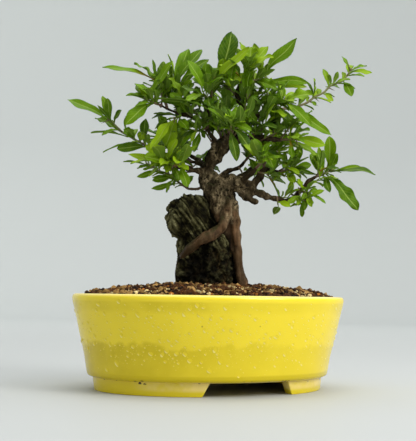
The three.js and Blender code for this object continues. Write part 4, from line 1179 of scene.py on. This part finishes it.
def bark_material():
    look = settings("bark")
    material, tree, shader, where = new_material("bark")
    relief = read(tree, "relief")
    root = read(tree, "root")
    flow = stretched(tree, where, ALONG_TRUNK)
    patches = patchy(tree, flow, 330.0, 0.42, 0.58, 5.0)
    broad = patchy(tree, where, 60.0, 0.46, 0.64)
    fine = patchy(tree, where, 900.0, 0.35, 0.65)
    worn = patchy(tree, flow, 85.0, 0.40, 0.62)
    tone = times(tree, worn, ranged(tree, patches, 0, 1, 0.32, 1.0))
    tone = times(tree, tone, ranged(tree, relief, -0.2, 0.4, 0.35, 1.0))
    tone = times(tree, tone, ranged(tree, fine, 0, 1, 0.45, 1.0))
    above = blended(tree, tone, look.bark, look.pale)
    above = blended(tree, times(tree, broad, 0.8), above, opaque(look.bark, 0.24))
    dents = patchy(tree, flow, 520.0, 0.57, 0.63, 2.0)
    above = blended(tree, times(tree, dents, 0.9), above, look.dark)
    # Pale streaks along the roots, worn bark that also serves as painted highlight.
    streaks_and_highlights = patchy(tree, stretched(tree, where, ALONG_ROOTS), 260.0, 0.42, 0.62, 4.0)
    roots = blended(tree, times(tree, streaks_and_highlights, 0.6), look.root, ROOT_WEAR_AND_HIGHLIGHT)
    roots = blended(tree, times(tree, broad, 0.6), roots, ROOT_SHADE)
    roots = blended(tree, times(tree, tone, 0.22), roots, look.pale)
    colour = blended(tree, root, above, roots)
    twig = read(tree, "twig")
    colour = blended(tree, times(tree, twig, 0.82), colour, TWIG_BARK)
    moss = times(tree, ranged(tree, read(tree, "skyward"), 0.1, 0.8), broad)
    colour = blended(tree, times(tree, moss, 0.8), colour, look.moss)
    crack = ranged(tree, relief, 0.0, -0.5)
    colour = blended(tree, times(tree, crack, 0.85), colour, look.dark)
    colour = blended(tree, times(tree, read(tree, "pit"), 0.45), colour, look.dark)
    # Painted shade where the point sees little of its surroundings, and in the gap between the roots.
    grime_and_painted_shade = math_of(tree, "MAXIMUM", ranged(tree, read(tree, "open"), 0.86, 0.25), read(tree, "gap"))
    colour = blended(tree, times(tree, grime_and_painted_shade, 0.88), colour, BARK_PAINTED_SHADE)
    rough = ranged(tree, fine, 0, 1, 0.70, 0.90)
    rough = math_of(tree, "SUBTRACT", rough, times(tree, root, 0.33))
    set_inputs(tree, shader, Base_Color=colour, Roughness=rough, Normal=bump(tree, fine, 0.5, 0.3 * MM))
    shader.inputs["Specular IOR Level"].default_value = 0.06
    return material


class FIRETHORN_OT_wood(bpy.types.Operator):
    """Give the trunk, roots and branches their bark"""
    bl_idname = "firethorn.wood"
    bl_label = "Trunk and roots"

    # The height over which roots turn into trunk, and the half thickness over which twigs turn into boughs
    ROOT_ENDS = (118 * MM, 148 * MM)
    TWIG_ENDS = (1.5 * MM, 5.5 * MM)
    # The half thickness from which on the relief is as deep as it gets
    FULL_RELIEF = 5 * MM

    def execute(self, context):
        look = settings("bark")
        piece = fine_copy("bark", "trunk", look.mesh_size)
        mesh = piece.data
        co = coordinates(mesh)
        thickness_and_shade = half_thickness(piece, co, vertex_normals(mesh), 14 * MM)
        thickness_and_shade = relaxed(thickness_and_shade, mesh, 4)
        co = smoothed(co, mesh, smoothstep(0.9 * MM, 3.2 * MM, thickness_and_shade) * 0.92 + 0.08, 26)
        move_points(mesh, co)
        facing = vertex_normals(mesh)
        lengthwise = co * np.array((1, 1, 0.42))
        cracks = sampled(lengthwise, 3 * MM, lambda p: 1 - 2.4 * abs(noise.noise(p)))
        swellings = fractal(co, 9 * MM, 0.9, 2)
        knobs = sampled(co, 4.4 * MM)
        fine = sampled(co, 1.5 * MM)
        pits = sampled(co, 4.6 * MM, lambda p: noise.voronoi(p)[0][0]) + 0.22 * fine
        pit = (1 - smoothstep(0.02, 0.20, pits)) * smoothstep(-0.1, 0.2, knobs)
        # The roots lie lower than the trunk's flare, and are smoother
        ragged = fractal(co, 8 * MM, 0.8, 3)
        root = 1 - smoothstep(*self.ROOT_ENDS, co[:, 2] + 13 * MM * ragged)
        relief = (1 - 0.6 * root) * 0.55 * cracks + 0.35 * fine - 0.5 * pit * (1 - 0.8 * root)
        least = np.minimum(thickness_and_shade, self.FULL_RELIEF)
        depth = least / self.FULL_RELIEF
        push = look.relief * depth * 0.62 * (relief - 0.1) * (1 - 0.5 * root)
        twig = 1 - smoothstep(*self.TWIG_ENDS, thickness_and_shade)
        push += least * (0.26 + 0.32 * twig) * knobs * (1 - 0.7 * root)
        push += 1.5 * MM * depth * swellings
        move_points(mesh, co + facing * push[:, None])
        store(mesh, relief=relief, root=root, pit=pit, twig=twig, gap=self.gap(co),
              open=relaxed(openness(co, facing), mesh, 3), skyward=vertex_normals(mesh)[:, 2])
        mesh.materials.append(bark_material())
        shade_smooth(mesh)
        dress(piece, "bark", "trunk")
        return {"FINISHED"}

    @staticmethod
    def gap(co):
        """1 between the root that crosses the stone and the one right of it, where little light falls; the
        bark is painted dark there as shade.
        """
        right, behind, up = seen_coordinates(co).T / MM
        between = smoothstep(-1, 3, right) * smoothstep(18.5, 15, right)
        deep = smoothstep(-14, -8, behind) * smoothstep(14, 8, behind)
        return between * deep * smoothstep(138, 130, up)


# Leaves

# The places of a leaf batch's materials
UPPER_SKIN, LOWER_SKIN, STEM = range(3)
# Widths above which a blade is drawn in more rows or columns
BROAD_LEAF = 7.5 * MM
SMALL_LEAF = 5 * MM
TINY_LEAF = 3.2 * MM
RIB_DEPTH = 0.10 * MM
STALK_DEPTH = 0.35 * MM
STALK_REACH = 0.42 * MM
RUST = (0.42, 0.16, 0.02, 1)
LIT_THROUGH = (0.42, 0.56, 0.02, 1)
STEM_FOOT = (0.11, 0.060, 0.030, 1)
STEM_FLECK = (0.16, 0.09, 0.04, 1)


def middle_of(ring):
    """The middle of some points, added up in a fixed order, so that every run gives the same."""
    return sum(sorted((v.co for v in ring), key=tuple), Vector()) / len(ring)


def row_extent(ring, across):
    reach = [v.co.dot(across) for v in ring]
    return max(reach) - min(reach)


def traced_blade(upper, lower, near):
    """Follows one blade of a solid from its tip's two points down to its seat on the stem."""
    known = {upper, lower}
    ring = (near[upper] | near[lower]) - known
    rings = []
    while len(ring) == 6 and len(rings) < 3:
        rings.append(ring)
        known |= ring
        ring = set().union(*(near[v] for v in ring)) - known
    base = middle_of(ring)
    tip = upper.co.copy()
    chord = (tip - base).normalized()
    across = chord.cross((upper.co - lower.co).normalized()).normalized()
    width = max(row_extent(r, across) for r in rings) / math.cos(BLADE_FOLD) / FULL_SHARE[len(rings)]
    return known, (base, tip, across.cross(chord), width)


def traced_stem(near, blades, points):
    """Follows a stem's five-sided rings from its tip down to the wood: middles, from the wood outwards."""
    for cap in points:
        ring = near[cap]
        if len(ring) == 5 and all(abs((v.co - cap.co).length - STEM_TIP_RADIUS) < 0.03 * MM for v in ring):
            break
    else:
        return []
    known = {cap}
    path = []
    while len(ring) == 5:
        path.append(middle_of(ring))
        known |= ring
        ring = set().union(*(near[v] for v in ring)) - known - blades
    left = [v for v in points if v not in known and v not in blades]
    if left:
        end = middle_of(left)
        path.append(end)
        path.append(end + (end - path[-2]).normalized() * 1.5 * MM)
    return path[::-1]


@functools.lru_cache(maxsize=None)
def traced(name):
    """A shoot's stem and leaves as its solid has them."""
    bm = bmesh.new()
    bm.from_mesh(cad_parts[name].data)
    bmesh.ops.remove_doubles(bm, verts=bm.verts, dist=2e-6)
    near = {v: {e.other_vert(v) for e in v.link_edges} for v in bm.verts}
    leaves = []
    blades = set()
    for edge in bm.edges:
        if abs(edge.calc_length() - BLADE_THICKNESS) > 4e-6:
            continue
        a, b = edge.verts
        for upper, lower in ((a, b), (b, a)):
            if len(near[upper]) == 6 and len(near[lower]) == 4:
                known, leaf = traced_blade(upper, lower, near)
                blades |= known
                leaves.append(leaf)
    stem = traced_stem(near, blades, list(bm.verts))
    bm.free()
    leaves.sort(key=lambda leaf: tuple(leaf[1]))
    return stem, leaves


@functools.lru_cache(maxsize=None)
def blade_faces(rows, columns):
    """The faces of a thin sheet's upper and lower skin and its edge, and each one's material."""
    count = columns + 1
    total = count * (rows + 1)
    faces, looks = [], []
    for r in range(rows):
        for c in range(columns):
            a = r * count + c
            faces.append((a, a + 1, a + 1 + count, a + count))
            faces.append((total + a, total + a + count, total + a + 1 + count, total + a + 1))
            looks += [UPPER_SKIN, LOWER_SKIN]
        a = r * count
        faces.append((a, a + count, total + a + count, total + a))
        a += columns
        faces.append((a + count, a, total + a, total + a + count))
        looks += [UPPER_SKIN] * 2
    for c in range(columns):
        faces.append((c + 1, c, total + c, total + c + 1))
        a = rows * count + c
        faces.append((a, a + 1, total + a + 1, total + a))
        looks += [UPPER_SKIN] * 2
    return faces, looks


def blade(base, tip, face, width, rng, thickness):
    """Points, faces, looks and numbers of one leaf: a thin closed blade on a short stalk."""
    chord = tip - base
    length = chord.length
    chord = chord.normalized()
    across = chord.cross(face).normalized()
    face = across.cross(chord)
    broad = width > BROAD_LEAF
    rows = 24 if broad else 16 if width > SMALL_LEAF else 10
    columns = 6 if broad else 4 if width > TINY_LEAF else 2
    stalk = rng.uniform(0.05, 0.10)
    fullest = BLADE_FULLEST * rng.uniform(0.86, 1.14)
    roundness = BLADE_ROUNDNESS * rng.uniform(0.9, 1.15) * (0.88 if width > 0.3 * length else 1.08)
    fold = BLADE_FOLD * rng.uniform(0.6, 1.7)
    arch = BLADE_ARCH * rng.uniform(0.6, 1.5)
    lopsided = rng.uniform(-0.10, 0.10)
    waves = rng.uniform(1.5, 3.4)
    wave_height = width * rng.choice((0.03, 0.05, 0.08, 0.12)) * (1 if broad else 0.7)
    phases = (any_turn(rng), any_turn(rng))
    sway = rng.uniform(-0.035, 0.035) * length
    twist = rng.uniform(-0.30, 0.30)
    teeth = rng.choice((0.0, 0.02, 0.035)) if broad else 0.02
    half = arch / 2
    arc = length * half / math.sin(half)
    ahead = chord * math.cos(half) + face * math.sin(half)
    rise = face * math.cos(half) - chord * math.sin(half)
    # s runs along the blade from its base to its tip, x across it from -1 to 1, t along it from the stalk
    upper, lower, along_list, across_list = [], [], [], []
    for r in range(rows + 1):
        s = r / rows
        bend = arch * s
        spot = base + (ahead * math.sin(bend) - rise * (1 - math.cos(bend))) * (arc / arch)
        spot = spot + across * (sway * math.sin(math.pi * s) * math.sin(2 * math.pi * s))
        normal = ahead * math.sin(bend) + rise * math.cos(bend)
        turn = twist * math.sin(math.pi * s)
        side = across * math.cos(turn) + normal * math.sin(turn)
        up = normal * math.cos(turn) - across * math.sin(turn)
        t = max(0.0, (s - stalk) / (1 - stalk))
        spread = math.sin(math.pi * min(1, t) ** fullest) if t < 1 else 0
        reach = width / 2 * max(0.0, spread) ** roundness
        if r % 2 and 0.25 < t < 0.97:
            reach *= 1 - teeth
        reach = max(reach, STALK_REACH * (1 - 0.8 * s))
        flat = smoothstep(0, 0.25, t)
        for c in range(columns + 1):
            x = 2 * c / columns - 1
            phase = phases[0] if x < 0 else phases[1]
            out = x * reach * (1 + lopsided * x / max(abs(x), 0.01))
            lift = abs(out) * math.tan(fold) * (1 - 0.45 * s)
            lift += wave_height * x * x * math.sin(2 * math.pi * waves * s + phase) * flat
            rib = RIB_DEPTH * (1 - min(1, abs(x) * 3)) * flat
            point = spot + side * (out * math.cos(fold)) + up * (lift - rib)
            depth = thickness * (1 - 0.62 * abs(x) * flat) + rib * 1.6 + (1 - flat) * STALK_DEPTH
            upper.append(point)
            lower.append(point - up * depth)
            along_list.append(s)
            across_list.append(x)
    return upper + lower, *blade_faces(rows, columns), along_list * 2, across_list * 2


def leaf_surface(name, lower_side):
    """The upper or lower skin of a leaf, lit through as well as lit."""
    look = settings("leaf")
    material, tree, shader, where = new_material(name)
    tone = read(tree, "tone")
    veins = placed(tree, leaf_veins(), Count=11.0)
    patches = patchy(tree, where, 240.0, 0.35, 0.68)
    older = blended(tree, ranged(tree, tone, 0.0, 0.45), look.old, look.grown)
    colour = blended(tree, ranged(tree, tone, 0.45, 1.0), older, look.young)
    colour = blended(tree, times(tree, patches, 0.22), colour, look.young)
    rust = times(tree, read(tree, "rust"), ranged(tree, read(tree, "along"), 0.5, 0.15))
    colour = blended(tree, rust, colour, RUST)
    if lower_side:
        colour = blended(tree, 0.78, colour, look.underside)
    colour = blended(tree, times(tree, veins["Veins"], 0.16), colour, look.midrib)
    colour = blended(tree, times(tree, veins["Rib"], 0.62), colour, look.midrib)
    height = math_of(tree, "ADD", times(tree, veins["Veins"], 0.5), veins["Rib"])
    upper, lower = (-0.30, 0.42, 0.56, 0.12), (0.35, 0.55, 0.7, 0.08)
    strength, smoothest, roughest, specular = lower if lower_side else upper
    set_inputs(tree, shader, Base_Color=colour, Normal=bump(tree, height, strength, 0.25 * MM),
               Roughness=ranged(tree, patches, 0, 1, smoothest, roughest))
    shader.inputs["Specular IOR Level"].default_value = specular
    through = node(tree, "BsdfTranslucent", {"Color": blended(tree, 0.5, colour, LIT_THROUGH)})
    mixed = node(tree, "MixShader", {0: 0.26, 1: shader.outputs[0], 2: through.outputs[0]})
    tree.links.new(mixed.outputs[0], tree.nodes["Material Output"].inputs["Surface"])
    return material


def stem_material():
    look = settings("leaf")
    material, tree, shader, where = new_material("green_stem")
    patches = patchy(tree, where, 420.0, 0.35, 0.65)
    colour = blended(tree, ranged(tree, read(tree, "along"), 0.1, 0.9), STEM_FOOT, look.stem)
    colour = blended(tree, times(tree, patches, 0.3), colour, STEM_FLECK)
    set_inputs(tree, shader, Base_Color=colour, Roughness=ranged(tree, patches, 0, 1, 0.45, 0.6),
               Normal=bump(tree, patches, 0.3, 0.2 * MM))
    return material


@functools.lru_cache(maxsize=None)
def leaf_materials():
    return leaf_surface("leaf_upper", False), leaf_surface("leaf_underside", True), stem_material()


def leaf_batch():
    return Batch("along", "across", "tone", "rust")


def add_leaf(batch, base, tip, face, width, rng, tone):
    points, faces, looks, along, across = blade(base, tip, face, width, rng, settings("leaf").thickness)
    rust = 0.8 if rng.random() < 0.03 else 0.0
    batch.add(points, faces, looks, along=along, across=across, tone=tone, rust=rust)


def add_rod(batch, path, radii, sides, along):
    """A stem, bud or thorn."""
    batch.add(*tube(path, radii, sides), STEM, along=along, across=0, tone=0.5, rust=0)


def add_stem(batch, path, thickness_and_shade, thin):
    path = smooth_path(path, 1.6 * MM)
    last = len(path) - 1
    radii = [thickness_and_shade + (thin - thickness_and_shade) * k / last for k in range(last + 1)]
    radii = [r * (1 + 0.10 * math.sin(2.3 * k)) for k, r in enumerate(radii)]
    radii[-1] *= 0.45
    add_rod(batch, path, radii, 8, np.repeat(np.linspace(0, 1, last + 1), 8))


def add_bud(batch, spot, way, size):
    """A small pointed bud."""
    path = [spot + way * (size * k / 4) for k in range(5)]
    add_rod(batch, path, [size * r for r in (0.20, 0.30, 0.28, 0.17, 0.03)], 6, 0.6)


# Where the front of the crown is fresher or older than elsewhere: right, up, how far round, how much
GROWTH = (
    (-34, 187, 30, 0.60), (16, 254, 12, 0.32), (35, 258, 12, 0.26), (67, 230, 15, 0.20), (80, 198, 16, 0.12),
    (-16, 256, 15, -0.34), (15, 274, 12, -0.40), (58, 265, 17, -0.26), (-94, 224, 26, -0.36),
    (-62, 252, 24, -0.26), (110, 158, 24, -0.20), (-100, 200, 25, -0.12),
)


def leaf_tone(middle, width, rng):
    """Leaves are fresher high up and at the ends of the shoots, and the broadest are the oldest. Leaves deep
    in the crown are darker, partly older and partly painted shade.
    """
    high = smoothstep(170 * MM, 275 * MM, middle.z)
    from_middle = (middle - POT_MIDDLE - UP * 205 * MM).length
    # Darker towards the middle of the crown: older leaves there, and painted shade inside the crown.
    outer = smoothstep(18 * MM, 78 * MM, from_middle)
    grown = smoothstep(9 * MM, 16 * MM, width)
    tone = -0.03 + 0.14 * high + 0.40 * outer - 0.15 * grown + rng.gauss(0.16, 0.23)
    right, behind, up = seen_in_mm(middle)
    for place_right, place_up, reach, change in GROWTH:
        away = math.hypot(right - place_right, up - place_up)
        tone += change * float(smoothstep(reach, 0.5 * reach, away) * smoothstep(25, 5, behind))
    return float(np.clip(tone, 0, 1))


def standing_leaf(batch, origin, ahead, turn, spread, usual, rng):
    """A small leaf that stands off a stem to one side."""
    side = ahead.orthogonal().normalized()
    side.rotate(Matrix.Rotation(turn, 3, ahead))
    way = (side * spread + ahead * rng.uniform(0.3, 0.85) + UP * rng.uniform(0, 0.4)).normalized()
    length = usual * rng.uniform(0.7, 1.3)
    face = (RIGHT * rng.uniform(-0.5, 0.5) - BEHIND * 0.4 + UP * 0.9 + ahead * 0.4).normalized()
    if abs(face.dot(way)) > 0.95:
        face = way.orthogonal()
    tip = origin + way * length
    width = length * rng.uniform(0.30, 0.45)
    if not kept_bare(tip):
        add_leaf(batch, origin, tip, face, width, rng, leaf_tone((origin + tip) / 2, width, rng))


# Where the crown is open, as left, right, bottom and top: the trunk, the bough and the gaps between
BARE = (
    (-16, 20, 0, 196), (16, 50, 0, 171), (14, 25, 218, 231), (31, 41, 214, 224), (-42, -22, 205, 221),
    (44, 65, 185, 197), (78, 130, 205, 290), (-92, -71, 197, 230),
)
# Where the crown's front is fullest, as right, up and the usual leaf's length
FULLEST = (
    (-26, 184, 22), (-34, 190, 24), (-42, 180, 20), (-30, 198, 18), (-12, 214, 18), (-4, 226, 20),
    (6, 206, 18), (24, 200, 17), (30, 232, 20), (38, 206, 17), (48, 210, 20), (56, 178, 16),
    (46, 172, 15), (60, 222, 20), (-48, 210, 18), (-20, 236, 20), (12, 240, 20), (34, 186, 16),
)


def kept_bare(spot):
    """Whether small leaves would cover wood that is seen, or a gap in the crown."""
    right, behind, up = seen_in_mm(spot)
    if behind > 12 and up > 172:
        return False
    return any(low < right < high and bottom < up < top for low, high, bottom, top in BARE)


class FIRETHORN_OT_shoots(bpy.types.Operator):
    """Grow fine leaves, buds and stems in place of each shoot's solid"""
    bl_idname = "firethorn.shoots"
    bl_label = "Leafy shoots"

    def execute(self, context):
        for number, name in enumerate(shoot_names()):
            rng = random.Random(100 + number)
            stem, leaves = traced(name)
            batch = leaf_batch()
            for base, tip, face, width in leaves:
                add_leaf(batch, base, tip, face, width, rng, leaf_tone((base + tip) / 2, width, rng))
            if stem:
                add_stem(batch, stem, 1.15 * MM, 0.75 * MM)
                ahead = (stem[-1] - stem[-2]).normalized()
                for _ in range(2):
                    add_bud(batch, stem[-1], (ahead + jitter(rng, 0.5)).normalized(), 2.4 * MM)
                self.fill(batch, stem, rng)
            piece = batch.made(name.replace("shoot_", "leaves_"), leaf_materials())
            dress(piece, "leaf", name)
        return {"FINISHED"}

    @staticmethod
    def fill(batch, stem, rng):
        """Adds the smallest leaves, which stand between the others."""
        path = smooth_path(stem[1:], 4 * MM)
        for k, spot in enumerate(path[1:]):
            ahead = (path[k + 1] - path[k]).normalized()
            if not kept_bare(spot):
                standing_leaf(batch, spot, ahead, GOLDEN_TURN * k + 1.1, 0.9, 13 * MM, rng)


class FIRETHORN_OT_sprigs(bpy.types.Operator):
    """Grow small leafy sprigs from the branches inside the crown"""
    bl_idname = "firethorn.sprigs"
    bl_label = "Inner sprigs"

    CROWN_BOTTOM = 158 * MM
    # The low bough on the right bears small leaves all along
    BOUGH_BOTTOM = 138 * MM
    BOUGH_TOP = 165 * MM
    BOUGH_START = 50 * MM
    APART = 4.5 * MM

    def execute(self, context):
        rng = random.Random(77)
        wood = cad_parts["trunk"].data
        starts = [v.co.copy() for v in wood.vertices if v.co.z > self.CROWN_BOTTOM]
        crown = sum(starts, Vector()) / len(starts)
        bough = [v.co.copy() for v in wood.vertices if self.BOUGH_BOTTOM < v.co.z < self.BOUGH_TOP
                 and (v.co - POT_MIDDLE).dot(RIGHT) > self.BOUGH_START]
        starts += 8 * bough
        chosen = []
        for start in rng.sample(starts, len(starts)):
            if len(chosen) == settings("leaf").sprigs:
                break
            if all((start - other).length > self.APART for other in chosen) and not kept_bare(start):
                chosen.append(start)
        inner, low_bough, front = leaf_batch(), leaf_batch(), leaf_batch()
        for start in chosen:
            way = (start - crown).normalized() * 0.8 + UP * rng.uniform(-0.1, 0.9)
            way = (way + jitter(rng, 0.7)).normalized()
            if start.z < self.BOUGH_TOP:
                self.grow(low_bough, start, way, rng.uniform(4, 10) * MM, 11 * MM, rng)
            else:
                self.grow(inner, start, way, rng.uniform(7, 17) * MM, 16 * MM, rng)
        places = seen_coordinates(np.array([start[:] for start in starts])) / MM
        for right, up, usual in FULLEST:
            apart = np.hypot(places[:, 0] - right, places[:, 2] - up) + 0.25 * np.abs(places[:, 1] + 6)
            start = starts[int(np.argmin(apart))]
            way = (RIGHT * (right - places[:, 0].mean()) * 0.01 - BEHIND * rng.uniform(0.5, 1)
                   + UP * rng.uniform(0.1, 0.7)).normalized()
            self.grow(front, start, way, rng.uniform(8, 14) * MM, usual * MM, rng)
        for name, batch in (("inner", inner), ("low_bough", low_bough), ("front", front)):
            dress(batch.made("sprigs_" + name, leaf_materials()), "leaf")
        return {"FINISHED"}

    @staticmethod
    def grow(batch, start, way, length, usual, rng):
        """One sprig: a thin stem with leaves round it and one at its end."""
        bow = jitter(rng, 0.12) * length
        stem = [start - way * 1.5 * MM, start + way * (length / 2) + bow, start + way * length]
        add_stem(batch, stem, 0.75 * MM, 0.5 * MM)
        path = smooth_path(stem, 3 * MM)
        for k in range(2, len(path)):
            ahead = (path[k] - path[k - 1]).normalized()
            standing_leaf(batch, path[k], ahead, GOLDEN_TURN * k + rng.uniform(0, 1), 0.85, usual, rng)
        standing_leaf(batch, path[-1], way, rng.uniform(0, 6), 0.3, 1.12 * usual, rng)


class FIRETHORN_OT_thorns(bpy.types.Operator):
    """Set straight thorns along the shoots"""
    bl_idname = "firethorn.thorns"
    bl_label = "Thorns"

    def execute(self, context):
        rng = random.Random(31)
        batch = leaf_batch()
        for name in shoot_names():
            stem = traced(name)[0]
            if len(stem) < 3:
                continue
            for k in range(2, len(stem), 3):
                ahead = (stem[k] - stem[k - 1]).normalized()
                side = ahead.orthogonal().normalized()
                side.rotate(Matrix.Rotation(any_turn(rng), 3, ahead))
                way = (side + ahead * 0.35).normalized()
                length = rng.uniform(4.5, 9) * MM
                path = [stem[k] + way * (length * share) for share in (0, 0.15, 0.45, 0.75, 1)]
                add_rod(batch, path, [r * MM for r in (0.75, 0.55, 0.38, 0.22, 0.04)], 7, 0.25)
        dress(batch.made("thorns", leaf_materials()), "leaf")
        return {"FINISHED"}


class FIRETHORN_OT_stage(bpy.types.Operator):
    """Set up the plain floor, the soft lights and the camera"""
    bl_idname = "firethorn.stage"
    bl_label = "Stage"

    def execute(self, context):
        look = settings("stage")
        scene = context.scene
        self.backdrop(look)
        self.light("key", look.key_power, 0.8, (1.15, -0.75, 0.95), (1.0, 0.985, 0.95))
        self.light("top", look.top_power, 1.1, (0.0, 0.15, 1.5), (1.0, 1.0, 1.0))
        scene.world = self.soft_room(look)
        scene.view_settings.view_transform = "Standard"
        camera = bpy.data.cameras.new("camera")
        camera.lens = look.lens
        camera.clip_end = 20
        eye = bpy.data.objects.new("camera", camera)
        eye.location = POT_MIDDLE - BEHIND * EYE_DISTANCE + UP * EYE_HEIGHT
        turn = Matrix.Rotation(SEEN_FROM + look.turn, 3, "Z")
        pitch = Matrix.Rotation(math.pi / 2 + look.pitch, 3, "X")
        eye.rotation_euler = (turn @ pitch @ Matrix.Rotation(look.lean, 3, "Z")).to_euler()
        scene.collection.objects.link(eye)
        scene.camera = eye
        return {"FINISHED"}

    @staticmethod
    def soft_room(look):
        """Light from all round, weaker from the left, so that the pot has a shaded side."""
        world = bpy.data.worlds.new("soft_room")
        world.use_nodes = True
        tree = world.node_tree
        rightwards = rightward(tree, node(tree, "TexCoord").outputs["Generated"])
        strength = ranged(tree, rightwards, -0.9, 0.9, 0.66 * look.room_strength, 1.3 * look.room_strength)
        set_inputs(tree, tree.nodes["Background"], Color=(0.96, 1.0, 0.975, 1), Strength=strength)
        return world

    @staticmethod
    def backdrop(look):
        """A round floor that curves up into a low wall on all sides."""
        sides, bend, top = 96, 0.6, 1.25
        steps = [(look.radius * 0.02, 0), (look.radius * 0.5, 0), (look.radius - bend, 0)]
        steps += [(look.radius - bend + bend * math.sin(a), bend - bend * math.cos(a))
                  for a in np.linspace(0.12, math.pi / 2, 12)]
        steps += [(look.radius, top)]
        points = [
            (radius * x, radius * y, height) for radius, height in steps for x, y in round_turns(sides)]
        faces = between_rings(len(steps), sides)[:-1]
        mesh = bpy.data.meshes.new("backdrop")
        mesh.from_pydata(points, [], faces)
        shade_smooth(mesh)
        material, tree, shader, where = new_material("backdrop")
        away = node(tree, "VectorMath", {0: where}, operation="LENGTH").outputs["Value"]
        # Painted light: the floor is darker near the pot, where the lamps light it most, and reaches its full
        # colour far off, where less light falls.
        level = opaque(look.floor, look.floor_shade)
        colour = blended(tree, ranged(tree, away, 0.4, 1.9), level, look.floor)
        set_inputs(tree, shader, Base_Color=colour, Roughness=0.6)
        shader.inputs["Specular IOR Level"].default_value = 0.25
        mesh.materials.append(material)
        linked_object("backdrop", mesh)

    @staticmethod
    def light(name, power, size, place, colour):
        """A square light that faces the tree, with its place as right, behind and up."""
        lamp = bpy.data.lights.new(name, "AREA")
        lamp.energy = power
        lamp.size = size
        lamp.color = colour
        made = bpy.data.objects.new(name, lamp)
        right, behind, up = place
        made.location = RIGHT * right + BEHIND * behind + UP * up
        aim = POT_MIDDLE + UP * 0.13 - made.location
        made.rotation_euler = aim.to_track_quat("-Z", "Y").to_euler()
        bpy.context.scene.collection.objects.link(made)


OPERATORS = (
    FIRETHORN_OT_stage, FIRETHORN_OT_pot, FIRETHORN_OT_water_drops, FIRETHORN_OT_drain_screens,
    FIRETHORN_OT_soil, FIRETHORN_OT_stone, FIRETHORN_OT_wood, FIRETHORN_OT_shoots, FIRETHORN_OT_sprigs,
    FIRETHORN_OT_thorns,
)
SETTINGS = {
    "pot": PotSettings, "soil": SoilSettings, "stone": StoneSettings, "bark": BarkSettings,
    "leaf": LeafSettings, "stage": StageSettings,
}


class FIRETHORN_PT_sidebar(bpy.types.Panel):
    """Lists the pieces and their settings"""
    bl_label = "Firethorn bonsai"
    bl_idname = "FIRETHORN_PT_sidebar"
    bl_space_type = "VIEW_3D"
    bl_region_type = "UI"
    bl_category = "Firethorn"

    def draw(self, context):
        for operator in OPERATORS:
            self.layout.operator(operator.bl_idname)
        for name, group in SETTINGS.items():
            box = self.layout.box()
            box.label(text=name.capitalize())
            for label in group.__annotations__:
                box.prop(settings(name), label)


def register():
    for group in SETTINGS.values():
        bpy.utils.register_class(group)
    for name, group in SETTINGS.items():
        setattr(bpy.types.Scene, "firethorn_" + name, PointerProperty(type=group))
    for operator in OPERATORS:
        bpy.utils.register_class(operator)
    bpy.utils.register_class(FIRETHORN_PT_sidebar)


def unregister():
    bpy.utils.unregister_class(FIRETHORN_PT_sidebar)
    for operator in reversed(OPERATORS):
        bpy.utils.unregister_class(operator)
    for name, group in SETTINGS.items():
        delattr(bpy.types.Scene, "firethorn_" + name)
        bpy.utils.unregister_class(group)


def main():
    register()
    bpy.ops.firethorn.stage()
    bpy.ops.firethorn.pot()
    bpy.ops.firethorn.water_drops()
    bpy.ops.firethorn.drain_screens()
    bpy.ops.firethorn.soil()
    bpy.ops.firethorn.stone()
    bpy.ops.firethorn.wood()
    bpy.ops.firethorn.shoots()
    bpy.ops.firethorn.sprigs()
    bpy.ops.firethorn.thorns()


if __name__ == "__main__":
    main()
